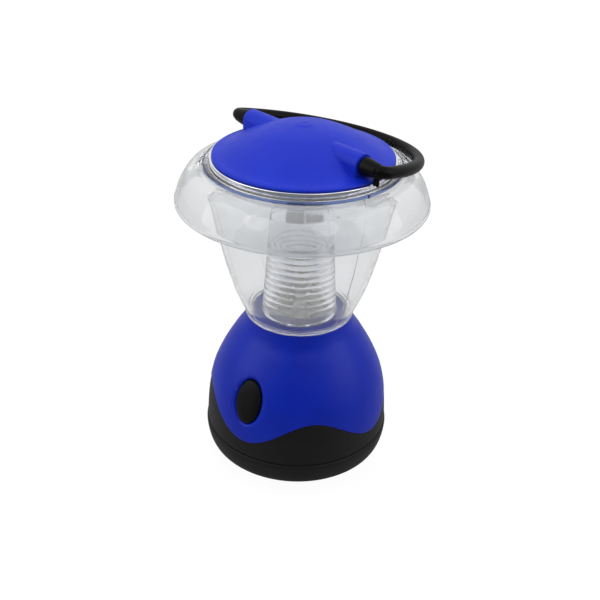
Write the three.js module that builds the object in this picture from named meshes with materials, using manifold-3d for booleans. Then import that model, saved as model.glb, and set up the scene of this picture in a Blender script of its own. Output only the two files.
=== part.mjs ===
// Small camping lantern: screw-off battery cover, flared housing, clear globe and shade, domed cap
// and a bail handle. Millimetres, +Z up, the origin at the centre of the cover's flat underside.
// An azimuth is measured from the front (-Y) towards the right (+X).
import * as THREE from "three";
import { mergeVertices } from "three/addons/utils/BufferGeometryUtils.js";
import Module from "manifold-3d";

const wasm = await Module();
wasm.setup();

// ---- driving dimensions ----
const ROUND = 36; // facets round the large parts
const FINE_ROUND = 48; // facets round the two parts with the wavy edge
const MEDIUM_ROUND = 24;
const SMALL_ROUND = 10;

const COVER_FLOOR = 1.8;
const COVER_TOP = 9.3;
const COLLAR_RADIUS = 30.6;
const COLLAR_INNER = 28.8;
const COLLAR_TOP = 17.2;
const THREAD_PITCH = 4;
const THREAD_TURNS = 1.25;
const THREAD_RADIUS = 0.8;
const THREAD_START = 11.2;

const BAND_BOTTOM = 9.6;
const BAND_BORE = 31.9;
const BAND_TOP = 28.5;
const BAND_STEP_IN = 0.3; // how far the band stands inside the housing's outer surface
const WAVE_COUNT = 4;
const WAVE_MEAN = 21.6;
const WAVE_HEIGHT = 5.65;
const WAVE_CREST_AZIMUTH = 11;
const WAVE_GAP = 0.15;

const SHELL_WALL = 2.0;
const NECK_RADIUS = 20.2;
const NECK_TOP = 57.5;
const DECK_TOP = 58.6;
const DECK_UNDER = 57.2;
const DECK_BORE = 12.6;

const BUTTON_AZIMUTH = -34;
const BUTTON_HEIGHT = 32.3;
const BUTTON_SURFACE_RADIUS = 32.95;
const BUTTON_TILT = 19; // degrees the outward normal leans up at the button
const BUTTON_HALF_WIDTH = 5.3;
const BUTTON_HALF_LENGTH = 8.5;

const CELL_RADIUS = 7.15;
const CELL_RING_RADIUS = 8.75;
const CELL_BOTTOM = 5.05;
const CELL_LENGTH = 50.5;
const CAGE_RADIUS = 17;
const CAGE_BOTTOM = 5.5;
const CAGE_TOP = 55.3;
const CELL_BORE = 7.5;
const FLANGE_BOTTOM = 20;
const FLANGE_TOP = 21.6;
const FLANGE_RADIUS = 28.2;
const POST_RING_RADIUS = 24.5;
const PEG_RING_RADIUS = 21;

const GLOBE_WALL = 1.6;
const GLOBE_FLANGE_RADIUS = 35.4;
const GLOBE_FLANGE_BOTTOM = 116.9;
const GLOBE_FLANGE_TOP = 118.1;

const LENS_BOTTOM = 58.75;
const LENS_TOP = 105;
const LENS_FOOT_RADIUS = 14.5;
const LENS_TOP_RADIUS = 11.05;
const LENS_WALL = 1.5;
const SOCKET_BOTTOM = 101.6; // the reflector's faceted skirt round the top of the ribbed tube
const SOCKET_FACETS = 12;
const SOCKET_INNER = 12.1; // across corners
const SOCKET_OUTER = 13;
const SOCKET_TURN = 5; // azimuth of one corner

const CAP_RIM_RADIUS = 32.3;
const CAP_RIM_Z = 120.4;
const CAP_APEX_Z = 131.8;

const PIVOT_Z = 125.3;
const PIVOT_AZIMUTH = 43.8; // the right-hand cheek's azimuth
const CHEEK_END = 28.6;
const CHEEK_RADIUS = 4;
const PIVOT_PIN_RADIUS = 2.05;
const PIVOT_BORE_RADIUS = 2.15;
const HANDLE_HALF_WIDTH = 37.2;
const HANDLE_REACH = 45;
const HANDLE_TUBE_RADIUS = 2.2;
const HANDLE_DROOP = 13; // degrees below level when folded

// ---- small tools ----
const radians = THREE.MathUtils.degToRad;

function at(radius, azimuth, z = 0) {
  const a = radians(azimuth);
  return new THREE.Vector3(radius * Math.sin(a), -radius * Math.cos(a), z);
}

// A closed manifold body from a three.js geometry, turned right side out.
function solid(geometry) {
  const bare = geometry.clone();
  bare.deleteAttribute("normal");
  bare.deleteAttribute("uv");
  const merged = mergeVertices(bare, 1e-4);
  const points = merged.attributes.position;
  const corners = [];
  let volume = 0;
  const a = new THREE.Vector3();
  const b = new THREE.Vector3();
  const c = new THREE.Vector3();
  for (let i = 0; i < merged.index.count; i += 3) {
    const [p, q, r] = [merged.index.getX(i), merged.index.getX(i + 1), merged.index.getX(i + 2)];
    if (p === q || q === r || r === p) {
      continue;
    }
    corners.push([p, q, r]);
    a.fromBufferAttribute(points, p);
    b.fromBufferAttribute(points, q);
    c.fromBufferAttribute(points, r);
    volume += a.dot(b.cross(c));
  }
  const ordered = volume < 0 ? corners.map(([p, q, r]) => [p, r, q]) : corners;
  return new wasm.Manifold(
    new wasm.Mesh({
      numProp: 3,
      vertProperties: new Float32Array(points.array),
      triVerts: new Uint32Array(ordered.flat()),
    }),
  );
}

// A profile of [radius, z] corners turned about the Z axis.
function turned(profile, segments = ROUND) {
  const outline = profile.map(([r, z]) => new THREE.Vector2(r, z));
  const geometry = new THREE.LatheGeometry(outline, segments);
  geometry.rotateX(Math.PI / 2);
  return geometry;
}

function ring(inner, outer, bottom, top, segments = ROUND) {
  return turned([[inner, bottom], [outer, bottom], [outer, top], [inner, top], [inner, bottom]], segments);
}

function rod(radius, bottom, top, segments = SMALL_ROUND) {
  return turned([[0, bottom], [radius, bottom], [radius, top], [0, top]], segments);
}

function placed(geometry, position) {
  return geometry.translate(position.x, position.y, position.z);
}

function tube(path, radius, steps, sides) {
  const section = new THREE.Shape();
  section.absarc(0, 0, radius, 0, 2 * Math.PI);
  return new THREE.ExtrudeGeometry(section, {
    steps,
    curveSegments: sides / 2, // an arc is drawn with twice this many sides
    bevelEnabled: false,
    extrudePath: path,
  });
}

// Points along a smooth curve through [radius, z] knots.
function smooth(knots, divisions) {
  const curve = new THREE.SplineCurve(knots.map(([r, z]) => new THREE.Vector2(r, z)));
  return curve.getSpacedPoints(divisions).map((p) => [p.x, p.y]);
}

function offsetIn(profile, distance) {
  return profile.map(([r, z]) => [r - distance, z]);
}

class Helix extends THREE.Curve {
  constructor(startRadius, endRadius, startZ, endZ, turns, phase = 0) {
    super();
    Object.assign(this, { startRadius, endRadius, startZ, endZ, turns, phase });
  }

  getPoint(t, target = new THREE.Vector3()) {
    const angle = this.phase + 2 * Math.PI * this.turns * t;
    const radius = THREE.MathUtils.lerp(this.startRadius, this.endRadius, t);
    const z = THREE.MathUtils.lerp(this.startZ, this.endZ, t);
    return target.set(radius * Math.cos(angle), radius * Math.sin(angle), z);
  }
}

const lantern = new THREE.Group();
lantern.name = "camping_lantern";

function add(name, shape, look) {
  let geometry = shape;
  if (!shape.isBufferGeometry) {
    const mesh = shape.getMesh();
    geometry = new THREE.BufferGeometry();
    geometry.setAttribute("position", new THREE.BufferAttribute(new Float32Array(mesh.vertProperties), 3));
    geometry.setIndex(new THREE.BufferAttribute(new Uint32Array(mesh.triVerts), 1));
    geometry.computeVertexNormals();
  }
  const [color, roughness, metalness, opacity = 1] = look;
  const material = new THREE.MeshStandardMaterial({ color, roughness, metalness });
  material.opacity = opacity;
  material.transparent = opacity < 1;
  const mesh = new THREE.Mesh(geometry, material);
  mesh.name = name;
  lantern.add(mesh);
}

// ---- looks: colour, roughness, metalness, opacity ----
const BLUE_CAP = [0x2b3cc4, 0.38, 0];
const BLUE_SHELL = [0x1f2a9c, 0.38, 0];
const BLACK_PLASTIC = [0x17181a, 0.5, 0];
const BLACK_RUBBER = [0x202022, 0.75, 0];
const CLEAR_PLASTIC = [0xe6eaf0, 0.06, 0, 0.3];
const CHROME = [0xdfe2e6, 0.1, 1];
const STEEL = [0xa9adb2, 0.3, 1];
const BRASS = [0xc2a25a, 0.3, 1];
const GREY_PLASTIC = [0x6b6f74, 0.55, 0];
const BOARD_GREEN = [0x1d5b35, 0.55, 0];
const BOARD_WHITE = [0xe8e8e4, 0.5, 0];
const CELL_WRAP = [0x7c8782, 0.35, 0.2];
const LED_BODY = [0xf2f0d8, 0.15, 0, 0.6];
const WIRE_RED = [0xb21f1f, 0.5, 0];
const WIRE_BLACK = [0x121212, 0.5, 0];
const RESISTOR_BLUE = [0x6f9fc4, 0.45, 0];

// ---- battery cover: dished cup, seal groove, threaded collar and pivot post ----
function threadRidge(radius, startZ, phase) {
  const endZ = startZ + THREAD_PITCH * THREAD_TURNS;
  const path = new Helix(radius, radius, startZ, endZ, THREAD_TURNS, phase);
  return solid(tube(path, THREAD_RADIUS, 34, 6));
}

const POST_RADIUS = 3.1;
const POST_TOP = 3.8;
const SCREW_BORE = 1.45;
const coverProfile = [
  [0, 0],
  [33.7, 0],
  [34.5, 0.5],
  [35.5, 2.5],
  [36.1, 5],
  [36.4, 7.6],
  [35.9, COVER_TOP],
  [34.4, COVER_TOP],
  [34.4, 8.2],
  [33, 8.2],
  [33, COVER_TOP],
  [COLLAR_RADIUS, COVER_TOP],
  [COLLAR_RADIUS, COLLAR_TOP],
  [COLLAR_INNER, COLLAR_TOP],
  [COLLAR_INNER, COVER_FLOOR],
  [POST_RADIUS, COVER_FLOOR],
  [POST_RADIUS, POST_TOP],
  [SCREW_BORE, POST_TOP],
  [SCREW_BORE, 1],
  [0, 1],
];
add(
  "battery_cover",
  solid(turned(coverProfile)).add(threadRidge(COLLAR_RADIUS + 0.1, THREAD_START, 0)),
  BLACK_PLASTIC,
);

const SEAL_RING_RADIUS = 33.7;
const SEAL_SECTION = 0.58;
const sealSection = [];
for (let i = 0; i <= 6; i += 1) {
  const a = (i / 6) * 2 * Math.PI;
  sealSection.push([SEAL_RING_RADIUS + SEAL_SECTION * Math.cos(a), 8.9 + SEAL_SECTION * Math.sin(a)]);
}
add("cover_seal", turned(sealSection), BLACK_RUBBER);

// A pan head with its shank above it; the head's top lies at z = 0 and the shank runs up.
function panScrew(headRadius, headHeight, shankRadius, shankLength) {
  return turned(
    [
      [0, -headHeight],
      [headRadius * 0.7, -headHeight],
      [headRadius, -headHeight * 0.5],
      [headRadius, 0],
      [shankRadius, 0],
      [shankRadius, shankLength],
      [0, shankLength + shankRadius],
    ],
    SMALL_ROUND,
  );
}

// ---- contact carrier: keyed disc that stays square to the cells while the cover turns ----
const CARRIER_BOTTOM = 2.1;
const CARRIER_TOP = 3.4;
const CARRIER_RADIUS = 27.5;
const PEG_RADIUS = 1.5;
const PEG_TOP = 14.5;
const PEG_AZIMUTHS = [BUTTON_AZIMUTH, BUTTON_AZIMUTH + 120, BUTTON_AZIMUTH - 120];
const POST_AZIMUTHS = PEG_AZIMUTHS.map((a) => a + 60);
let carrier = solid(ring(POST_RADIUS + 0.3, CARRIER_RADIUS, CARRIER_BOTTOM, CARRIER_TOP));
for (const azimuth of PEG_AZIMUTHS) {
  const peg = rod(PEG_RADIUS, CARRIER_TOP - 0.5, PEG_TOP);
  carrier = carrier.add(solid(placed(peg, at(PEG_RING_RADIUS, azimuth))));
}
add("contact_carrier", carrier, GREY_PLASTIC);

const carrierScrew = panScrew(3.7, 0.9, SCREW_BORE - 0.15, 1.4);
carrierScrew.rotateX(Math.PI);
add("carrier_screw", placed(carrierScrew, new THREE.Vector3(0, 0, POST_TOP + 0.1)), STEEL);

// ---- cells: the second one stands the other way up ----
const CELL_AZIMUTHS = POST_AZIMUTHS;
const cellCentres = CELL_AZIMUTHS.map((azimuth) => at(CELL_RING_RADIUS, azimuth));
const CELL_NUB_HEIGHT = 1.2;
const CELL_SHOULDER = CELL_LENGTH - CELL_NUB_HEIGHT;
const cellProfile = [
  [0, 0],
  [CELL_RADIUS - 0.6, 0],
  [CELL_RADIUS, 0.6],
  [CELL_RADIUS, CELL_SHOULDER - 0.6],
  [CELL_RADIUS - 0.6, CELL_SHOULDER],
  [2.7, CELL_SHOULDER],
  [2.6, CELL_LENGTH],
  [0, CELL_LENGTH],
];
cellCentres.forEach((centre, i) => {
  const cell = turned(cellProfile, 20);
  if (i === 1) {
    cell.rotateX(Math.PI);
    cell.translate(0, 0, CELL_LENGTH);
  }
  cell.translate(centre.x, centre.y, CELL_BOTTOM);
  add(`battery_cell_${i + 1}`, cell, CELL_WRAP);
});

// A nested conical spring of round wire.
function coneSpring(bottom, height) {
  const path = new Helix(4.6, 1.7, bottom + 0.3, bottom + height - 0.3, 2.5);
  return tube(path, 0.28, 24, 6);
}

const SPRING_HEIGHT = CELL_BOTTOM - CARRIER_TOP - 0.1;
[cellCentres[0], cellCentres[2]].forEach((centre, i) => {
  const spring = coneSpring(CARRIER_TOP + 0.05, SPRING_HEIGHT);
  add(`carrier_spring_${i + 1}`, placed(spring, centre), STEEL);
});
add("carrier_contact", placed(rod(4.4, CARRIER_TOP + 0.05, CELL_BOTTOM - 0.05, 16), cellCentres[1]), BRASS);

// ---- battery cage: barrel with three cell bores, screw flange and peg sockets ----
const LOBE_RADIUS = 3.4;
const SHANK_RADIUS = 1.3;
const GROOVE_RADIUS = 1;
const WIRE_SPREAD = 5; // degrees either side of the button's azimuth
const WIRE_AZIMUTHS = [BUTTON_AZIMUTH - WIRE_SPREAD, BUTTON_AZIMUTH + WIRE_SPREAD];
let cage = solid(rod(CAGE_RADIUS, CAGE_BOTTOM, CAGE_TOP, ROUND));
cage = cage.add(solid(ring(CAGE_RADIUS - 1, FLANGE_RADIUS, FLANGE_BOTTOM, FLANGE_TOP)));
for (const azimuth of PEG_AZIMUTHS) {
  const lobe = rod(LOBE_RADIUS, CAGE_BOTTOM, FLANGE_BOTTOM + 0.5, 16);
  cage = cage.add(solid(placed(lobe, at(PEG_RING_RADIUS - 1.2, azimuth))));
}
for (const azimuth of PEG_AZIMUTHS) {
  const pegHole = rod(PEG_RADIUS + 0.2, CAGE_BOTTOM - 1, PEG_TOP + 1.5);
  cage = cage.subtract(solid(placed(pegHole, at(PEG_RING_RADIUS, azimuth))));
}
for (const centre of cellCentres) {
  const bore = rod(CELL_BORE, CAGE_BOTTOM - 1, CAGE_TOP + 1, MEDIUM_ROUND);
  cage = cage.subtract(solid(placed(bore, centre)));
}
for (const azimuth of POST_AZIMUTHS) {
  const hole = rod(SHANK_RADIUS + 0.25, FLANGE_BOTTOM - 1, FLANGE_TOP + 1);
  cage = cage.subtract(solid(placed(hole, at(POST_RING_RADIUS, azimuth))));
}
for (const azimuth of WIRE_AZIMUTHS) {
  const groove = rod(GROOVE_RADIUS, FLANGE_TOP + 4, CAGE_TOP + 1);
  cage = cage.subtract(solid(placed(groove, at(CAGE_RADIUS - 0.2, azimuth))));
}
add("battery_cage", cage, BLACK_PLASTIC);

POST_AZIMUTHS.forEach((azimuth, i) => {
  const screw = panScrew(2.6, 1.4, SHANK_RADIUS, 9);
  add(`cage_screw_${i + 1}`, placed(screw, at(POST_RING_RADIUS, azimuth, FLANGE_BOTTOM - 0.1)), STEEL);
});

// ---- housing: flared wall, deck under the globe, button dish and guide, screw posts ----
const shellOuter = smooth(
  [
    [36.2, 12],
    [35.6, 20],
    [34.6, 26],
    [32.9, 32.5],
    [29.6, 40],
    [25.3, 47.5],
    [22, 52.6],
    [NECK_RADIUS, NECK_TOP],
  ],
  7,
);
const shellInner = offsetIn(shellOuter, SHELL_WALL).filter(([, z]) => z < 54);
const shellProfile = [
  ...shellOuter,
  [17.7, NECK_TOP],
  [17.7, DECK_TOP],
  [DECK_BORE, DECK_TOP],
  [DECK_BORE, DECK_UNDER],
  [17.1, DECK_UNDER],
  [18.5, 55.2],
  ...shellInner.reverse(),
  shellOuter[0],
];

function waveHeight(x, y) {
  const azimuth = Math.atan2(x, -y);
  return WAVE_MEAN + WAVE_HEIGHT * Math.cos(WAVE_COUNT * (azimuth - radians(WAVE_CREST_AZIMUTH)));
}

// A wide ring between a flat face and the wavy edge, lifted by the given amount.
function waveRing(flat, lift) {
  const geometry = ring(20, 46, WAVE_MEAN, flat, FINE_ROUND);
  const points = geometry.attributes.position;
  for (let i = 0; i < points.count; i += 1) {
    if (Math.abs(points.getZ(i) - WAVE_MEAN) < 1e-6) {
      points.setZ(i, waveHeight(points.getX(i), points.getY(i)) + lift);
    }
  }
  return solid(geometry);
}

// The button's own frame: x level, y up the slope, z out along the push axis.
const buttonFrame = new THREE.Matrix4();
{
  const out = at(Math.cos(radians(BUTTON_TILT)), BUTTON_AZIMUTH, Math.sin(radians(BUTTON_TILT)));
  const level = at(1, BUTTON_AZIMUTH + 90);
  const up = new THREE.Vector3().crossVectors(out, level);
  buttonFrame.makeBasis(level, up, out);
  buttonFrame.setPosition(at(BUTTON_SURFACE_RADIUS, BUTTON_AZIMUTH, BUTTON_HEIGHT));
}

function oval(profile, halfWidth, halfLength, segments = MEDIUM_ROUND) {
  return turned(profile, segments).scale(halfWidth, halfLength, 1);
}

function block(width, length, bottom, top, x = 0, y = 0) {
  const box = new THREE.BoxGeometry(width, length, top - bottom);
  return box.translate(x, y, (top + bottom) / 2);
}

function inButtonFrame(geometry) {
  return solid(geometry.applyMatrix4(buttonFrame));
}

const GUIDE_BOTTOM = -3.8;
const STAKE_RADIUS = 1.1;
const PILLAR_RADIUS = 1.7;
const STAKE_X = 8.2;
const STAKE_Y = -3;
const BOARD_FRONT = -12.8;
const BOARD_BACK = -14;
const guidePad = oval([[0, GUIDE_BOTTOM], [1, GUIDE_BOTTOM], [1, -1.7], [0, -1.7]], 7.6, 10.6);
const BUTTON_GAP = 0.3;
const guideHole = oval(
  [[0, -9], [1, -9], [1, 4], [0, 4]],
  BUTTON_HALF_WIDTH + BUTTON_GAP,
  BUTTON_HALF_LENGTH + BUTTON_GAP,
);
const DISH_DEPTH = 1.7;
const DISH_HALF_WIDTH = 9.6;
const DISH_HALF_LENGTH = 13.4;
const DISH_HALF_HEIGHT = 3;
const dish = new THREE.SphereGeometry(1, 24, 16);
dish.rotateX(Math.PI / 2);
dish.scale(DISH_HALF_WIDTH, DISH_HALF_LENGTH, DISH_HALF_HEIGHT);
dish.translate(0, 0, DISH_HALF_HEIGHT - DISH_DEPTH);

let shell = solid(turned(shellProfile, FINE_ROUND));
shell = shell.add(inButtonFrame(guidePad));
for (const side of [-1, 1]) {
  const pillar = turned(
    [
      [0, BOARD_BACK - 0.8],
      [STAKE_RADIUS, BOARD_BACK - 0.8],
      [STAKE_RADIUS, BOARD_FRONT + 0.2],
      [PILLAR_RADIUS, BOARD_FRONT + 0.2],
      [PILLAR_RADIUS, -2.4],
      [0, -2.4],
    ],
    SMALL_ROUND,
  );
  pillar.translate(side * STAKE_X, STAKE_Y, 0);
  shell = shell.add(inButtonFrame(pillar));
}
const SCREW_POST_RADIUS = 2.6;
const SCREW_POST_TOP = 44;
const SCREW_BORE_TOP = 31.5;
for (const azimuth of POST_AZIMUTHS) {
  const post = rod(SCREW_POST_RADIUS, FLANGE_TOP + 0.2, SCREW_POST_TOP, 16);
  shell = shell.add(solid(placed(post, at(POST_RING_RADIUS, azimuth))));
}
for (const azimuth of POST_AZIMUTHS) {
  const bore = rod(SHANK_RADIUS + 0.15, FLANGE_TOP - 1, SCREW_BORE_TOP);
  shell = shell.subtract(solid(placed(bore, at(POST_RING_RADIUS, azimuth))));
}
shell = shell.subtract(inButtonFrame(dish)).subtract(inButtonFrame(guideHole));
shell = shell.subtract(waveRing(0, 0));
add("base_shell", shell, BLUE_SHELL);

// ---- band: wavy upper edge outside, lap sleeve behind the housing, thread inside ----
const lapOuter = offsetIn(shellOuter, SHELL_WALL + 0.25).filter(([, z]) => z < 34);
const bandOuter = offsetIn(shellOuter, BAND_STEP_IN).filter(([, z]) => z < BAND_TOP);
const bandProfile = [
  [BAND_BORE, BAND_BOTTOM],
  [36, BAND_BOTTOM],
  ...bandOuter,
  [bandOuter[bandOuter.length - 1][0] - 0.4, BAND_TOP],
  [30.2, BAND_TOP],
  [30.2, 23],
  [BAND_BORE, 19.5],
  [BAND_BORE, BAND_BOTTOM],
];
const aboveLap = [...lapOuter, [45, 34], [45, 12], lapOuter[0]];
const housingRoom = solid(turned(aboveLap, FINE_ROUND)).intersect(waveRing(60, -WAVE_GAP));
const guideRoom = oval([[0, -16], [1, -16], [1, 2], [0, 2]], 10.6, 12.6);
add(
  "base_band",
  solid(turned(bandProfile, FINE_ROUND))
    .subtract(housingRoom)
    .subtract(inButtonFrame(guideRoom))
    .add(threadRidge(BAND_BORE - 0.1, THREAD_START + THREAD_PITCH / 2, 0)),
  BLACK_PLASTIC,
);

// ---- button, plunger, switch and its board ----
const BUTTON_RIM = -0.6;
const BUTTON_CROWN = 0.5;
const BUTTON_BACK = -4.9;
const BUTTON_LIP = 1.12; // the lip behind the guide, as a share of the button's size
const buttonProfile = [
  [0, BUTTON_BACK],
  [BUTTON_LIP, BUTTON_BACK],
  [BUTTON_LIP, -4],
  [1, -4],
  [1, BUTTON_RIM],
  [0.93, BUTTON_RIM + 0.45],
  [0.75, BUTTON_RIM + 0.75],
  [0.4, BUTTON_CROWN - 0.1],
  [0, BUTTON_CROWN],
];
const button = oval(buttonProfile, BUTTON_HALF_WIDTH, BUTTON_HALF_LENGTH, 32);
add("power_button", inButtonFrame(button), BLACK_RUBBER);
const PLUNGER_BACK = -9.4;
add("switch_plunger", inButtonFrame(rod(1.7, PLUNGER_BACK, BUTTON_BACK - 0.1)), GREY_PLASTIC);
const SWITCH_SIDE = 8.4;
const SWITCH_FRONT = -7.4;
const switchBody = inButtonFrame(block(SWITCH_SIDE, SWITCH_SIDE, BOARD_FRONT + 0.1, SWITCH_FRONT));
const plungerRoom = inButtonFrame(rod(2, PLUNGER_BACK - 1.5, SWITCH_FRONT + 1));
add("switch_body", switchBody.subtract(plungerRoom), GREY_PLASTIC);
const SWITCH_BOARD_WIDTH = 20.4;
const SWITCH_BOARD_HEIGHT = 10.2;
const SWITCH_BOARD_Y = -0.8; // its centre sits a little below the button's
const boardBlank = block(SWITCH_BOARD_WIDTH, SWITCH_BOARD_HEIGHT, BOARD_BACK, BOARD_FRONT, 0, SWITCH_BOARD_Y);
let switchBoard = inButtonFrame(boardBlank);
for (const side of [-1, 1]) {
  const hole = rod(STAKE_RADIUS + 0.25, BOARD_BACK - 1, BOARD_FRONT + 1);
  hole.translate(side * STAKE_X, STAKE_Y, 0);
  switchBoard = switchBoard.subtract(inButtonFrame(hole));
}
add("switch_board", switchBoard, BOARD_GREEN);
const resistor = rod(1.1, -2.5, 2.5);
resistor.rotateX(Math.PI / 2);
resistor.translate(6.6, 1.9, BOARD_FRONT + 1.3);
add("resistor", inButtonFrame(resistor), RESISTOR_BLUE);

// ---- contact board over the cells, with its contacts ----
const CONTACT_BOARD_BOTTOM = 56.1;
const CONTACT_BOARD_TOP = 57;
const CELL_TOP = CELL_BOTTOM + CELL_LENGTH;
add("contact_board", rod(16.7, CONTACT_BOARD_BOTTOM, CONTACT_BOARD_TOP, 32), BOARD_GREEN);
[cellCentres[0], cellCentres[2]].forEach((centre, i) => {
  const plate = rod(4, CELL_TOP + 0.05, CONTACT_BOARD_BOTTOM - 0.05, 16);
  add(`top_contact_${i + 1}`, placed(plate, centre), BRASS);
});
const topSpring = tube(new Helix(4.4, 1.2, CONTACT_BOARD_BOTTOM - 0.25, CELL_TOP + 0.25, 2), 0.2, 20, 6);
add("top_spring", placed(topSpring, cellCentres[1]), STEEL);

// ---- wires from the switch board up the cage's grooves ----
const WIRE_RADIUS = 0.55;
WIRE_AZIMUTHS.forEach((azimuth, i) => {
  const path = new THREE.CatmullRomCurve3([
    at(18, azimuth, 30.6),
    at(17.15, azimuth, 32.2),
    at(CAGE_RADIUS - 0.1, azimuth, 35.5),
    at(CAGE_RADIUS - 0.1, azimuth, 47),
    at(CAGE_RADIUS - 0.4, azimuth, CONTACT_BOARD_BOTTOM - 0.2),
  ]);
  const [name, look] = i === 0 ? ["wire_red", WIRE_RED] : ["wire_black", WIRE_BLACK];
  add(name, tube(path, WIRE_RADIUS, 16, 6), look);
});

// ---- LED board, LEDs and the ribbed tube round them ----
const LED_BOARD_TOP = 58.3;
const LED_COUNT = 6;
const LED_RING_RADIUS = 7.2;
add("led_board", rod(DECK_BORE - 0.3, DECK_UNDER, LED_BOARD_TOP, 32), BOARD_WHITE);
const ledProfile = [
  [0, LED_BOARD_TOP + 0.1],
  [2.9, LED_BOARD_TOP + 0.1],
  [2.9, LED_BOARD_TOP + 1.1],
  [2.5, LED_BOARD_TOP + 1.1],
  [2.5, LED_BOARD_TOP + 5.2],
  [1.8, LED_BOARD_TOP + 6.9],
  [0, LED_BOARD_TOP + 7.6],
];
for (let i = 0; i < LED_COUNT; i += 1) {
  const centre = at(LED_RING_RADIUS, (i * 360) / LED_COUNT);
  add(`led_${i + 1}`, placed(turned(ledProfile, 10), centre), LED_BODY);
}

const RIB_COUNT = 12;
const RIB_START = 59.4;
const RIB_PITCH = 2.38;
const RIB_HEIGHT = 0.55;
function lensRadius(z) {
  return THREE.MathUtils.mapLinear(z, LENS_BOTTOM, LENS_TOP, LENS_FOOT_RADIUS - 0.2, LENS_TOP_RADIUS);
}
const lensProfile = [[12.6, LENS_BOTTOM], [LENS_FOOT_RADIUS, LENS_BOTTOM], [LENS_FOOT_RADIUS - 0.1, 59.1]];
for (let i = 0; i < RIB_COUNT; i += 1) {
  const z = RIB_START + i * RIB_PITCH;
  lensProfile.push([lensRadius(z) - RIB_HEIGHT, z], [lensRadius(z), z + RIB_PITCH / 2]);
}
const lastRib = RIB_START + RIB_COUNT * RIB_PITCH;
lensProfile.push(
  [lensRadius(lastRib) - RIB_HEIGHT, lastRib],
  [LENS_TOP_RADIUS, LENS_TOP],
  [LENS_TOP_RADIUS - LENS_WALL, LENS_TOP],
  [12.6, LENS_BOTTOM],
);
add("ribbed_lens", turned(lensProfile, MEDIUM_ROUND), CLEAR_PLASTIC);

// ---- clear globe with foot ring and top flange ----
const globeOuter = smooth(
  [
    [21.2, 60.2],
    [23.2, 65],
    [25.2, 70],
    [28, 80],
    [30.3, 90],
    [32.4, 104],
    [33.2, GLOBE_FLANGE_BOTTOM],
  ],
  6,
);
add(
  "clear_globe",
  turned([
    [18, 57.75],
    [20.6, 57.75],
    ...globeOuter,
    [GLOBE_FLANGE_RADIUS, GLOBE_FLANGE_BOTTOM],
    [GLOBE_FLANGE_RADIUS, GLOBE_FLANGE_TOP],
    [31.6, GLOBE_FLANGE_TOP],
    ...offsetIn(globeOuter, GLOBE_WALL).reverse(),
    [18, 58.8],
    [18, 57.75],
  ]),
  CLEAR_PLASTIC,
);

// ---- clear shade: ring under the flange, convex skirt, beaded rim ----
const shadeOuter = smooth(
  [
    [36.2, 116.6],
    [38.6, 116.2],
    [41, 114.6],
    [43.9, 110],
    [45.5, 105.6],
  ],
  6,
);
const shadeInner = smooth(
  [
    [43.8, 105.4],
    [42.2, 109.2],
    [39.4, 113],
    [36.4, 114.7],
  ],
  5,
);
add(
  "clear_shade",
  turned([
    [33.6, 114.7],
    ...[...shadeInner].reverse(),
    [43.9, 104],
    [44.4, 103.4],
    [45.2, 103.4],
    [45.8, 104.2],
    ...[...shadeOuter].reverse(),
    [33.6, 116.6],
    [33.6, 114.7],
  ]),
  CLEAR_PLASTIC,
);

// ---- metallised reflector: visible ring, flat web, downward cone and faceted socket for the tube ----
const REFLECTOR_WEB_BOTTOM = 118.3;
const REFLECTOR_WEB_TOP = 119.3;
let reflector = solid(
  turned([
    [0, 104],
    [2, 104.5],
    [8, 110.6],
    [14.5, REFLECTOR_WEB_BOTTOM],
    [33.2, REFLECTOR_WEB_BOTTOM],
    [33.2, 120],
    [32.2, 120],
    [32.2, REFLECTOR_WEB_TOP],
    [13.9, REFLECTOR_WEB_TOP],
    [7.4, 111.5],
    [1.8, 105.7],
    [0, 105.4],
  ]),
);
const socket = ring(SOCKET_INNER, SOCKET_OUTER, SOCKET_BOTTOM, REFLECTOR_WEB_BOTTOM + 0.5, SOCKET_FACETS);
socket.rotateZ(radians(SOCKET_TURN));
reflector = reflector.add(solid(socket));
const CAP_SCREW_RING = 24;
const CAP_SCREW_AZIMUTHS = [0, 120, 240].map((a) => a + PIVOT_AZIMUTH + 90);
for (const azimuth of CAP_SCREW_AZIMUTHS) {
  const hole = rod(1.4, REFLECTOR_WEB_BOTTOM - 1, REFLECTOR_WEB_TOP + 1);
  reflector = reflector.subtract(solid(placed(hole, at(CAP_SCREW_RING, azimuth))));
}
add("reflector", reflector, CHROME);

// ---- domed cap with two cheeks that carry the handle's pivots ----
const capOuter = smooth(
  [
    [CAP_RIM_RADIUS, CAP_RIM_Z + 0.4],
    [28.4, 122.1],
    [21, 126.1],
    [11, 130.2],
    [0, CAP_APEX_Z],
  ],
  6,
);
const CAP_WALL = 1.8;
const capInner = capOuter
  .slice(1, -1)
  .map(([r, z]) => [r - CAP_WALL * 0.5, z - CAP_WALL * 0.9])
  .filter(([, z]) => z > CAP_RIM_Z);
const capSkin = solid(
  turned([
    [30.4, CAP_RIM_Z],
    [CAP_RIM_RADIUS, CAP_RIM_Z],
    ...capOuter,
    [0, CAP_APEX_Z - CAP_WALL],
    ...capInner.reverse(),
    [30.4, CAP_RIM_Z],
  ]),
);
const pivotAxis = at(1, PIVOT_AZIMUTH);

// Takes a shape whose local x runs along the pivot axis and z up, with y level, to its place.
const pivotFrame = new THREE.Matrix4();
pivotFrame.makeBasis(pivotAxis, at(1, PIVOT_AZIMUTH + 90), new THREE.Vector3(0, 0, 1));
pivotFrame.setPosition(0, 0, PIVOT_Z);

function inPivotFrame(geometry) {
  return solid(geometry.applyMatrix4(pivotFrame));
}

// A profile of [radius, distance along the pivot axis] corners turned about that axis.
function turnedOnPivot(profile, side, segments) {
  const geometry = turned(profile, segments);
  geometry.rotateY(side * (Math.PI / 2));
  return geometry;
}

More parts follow.
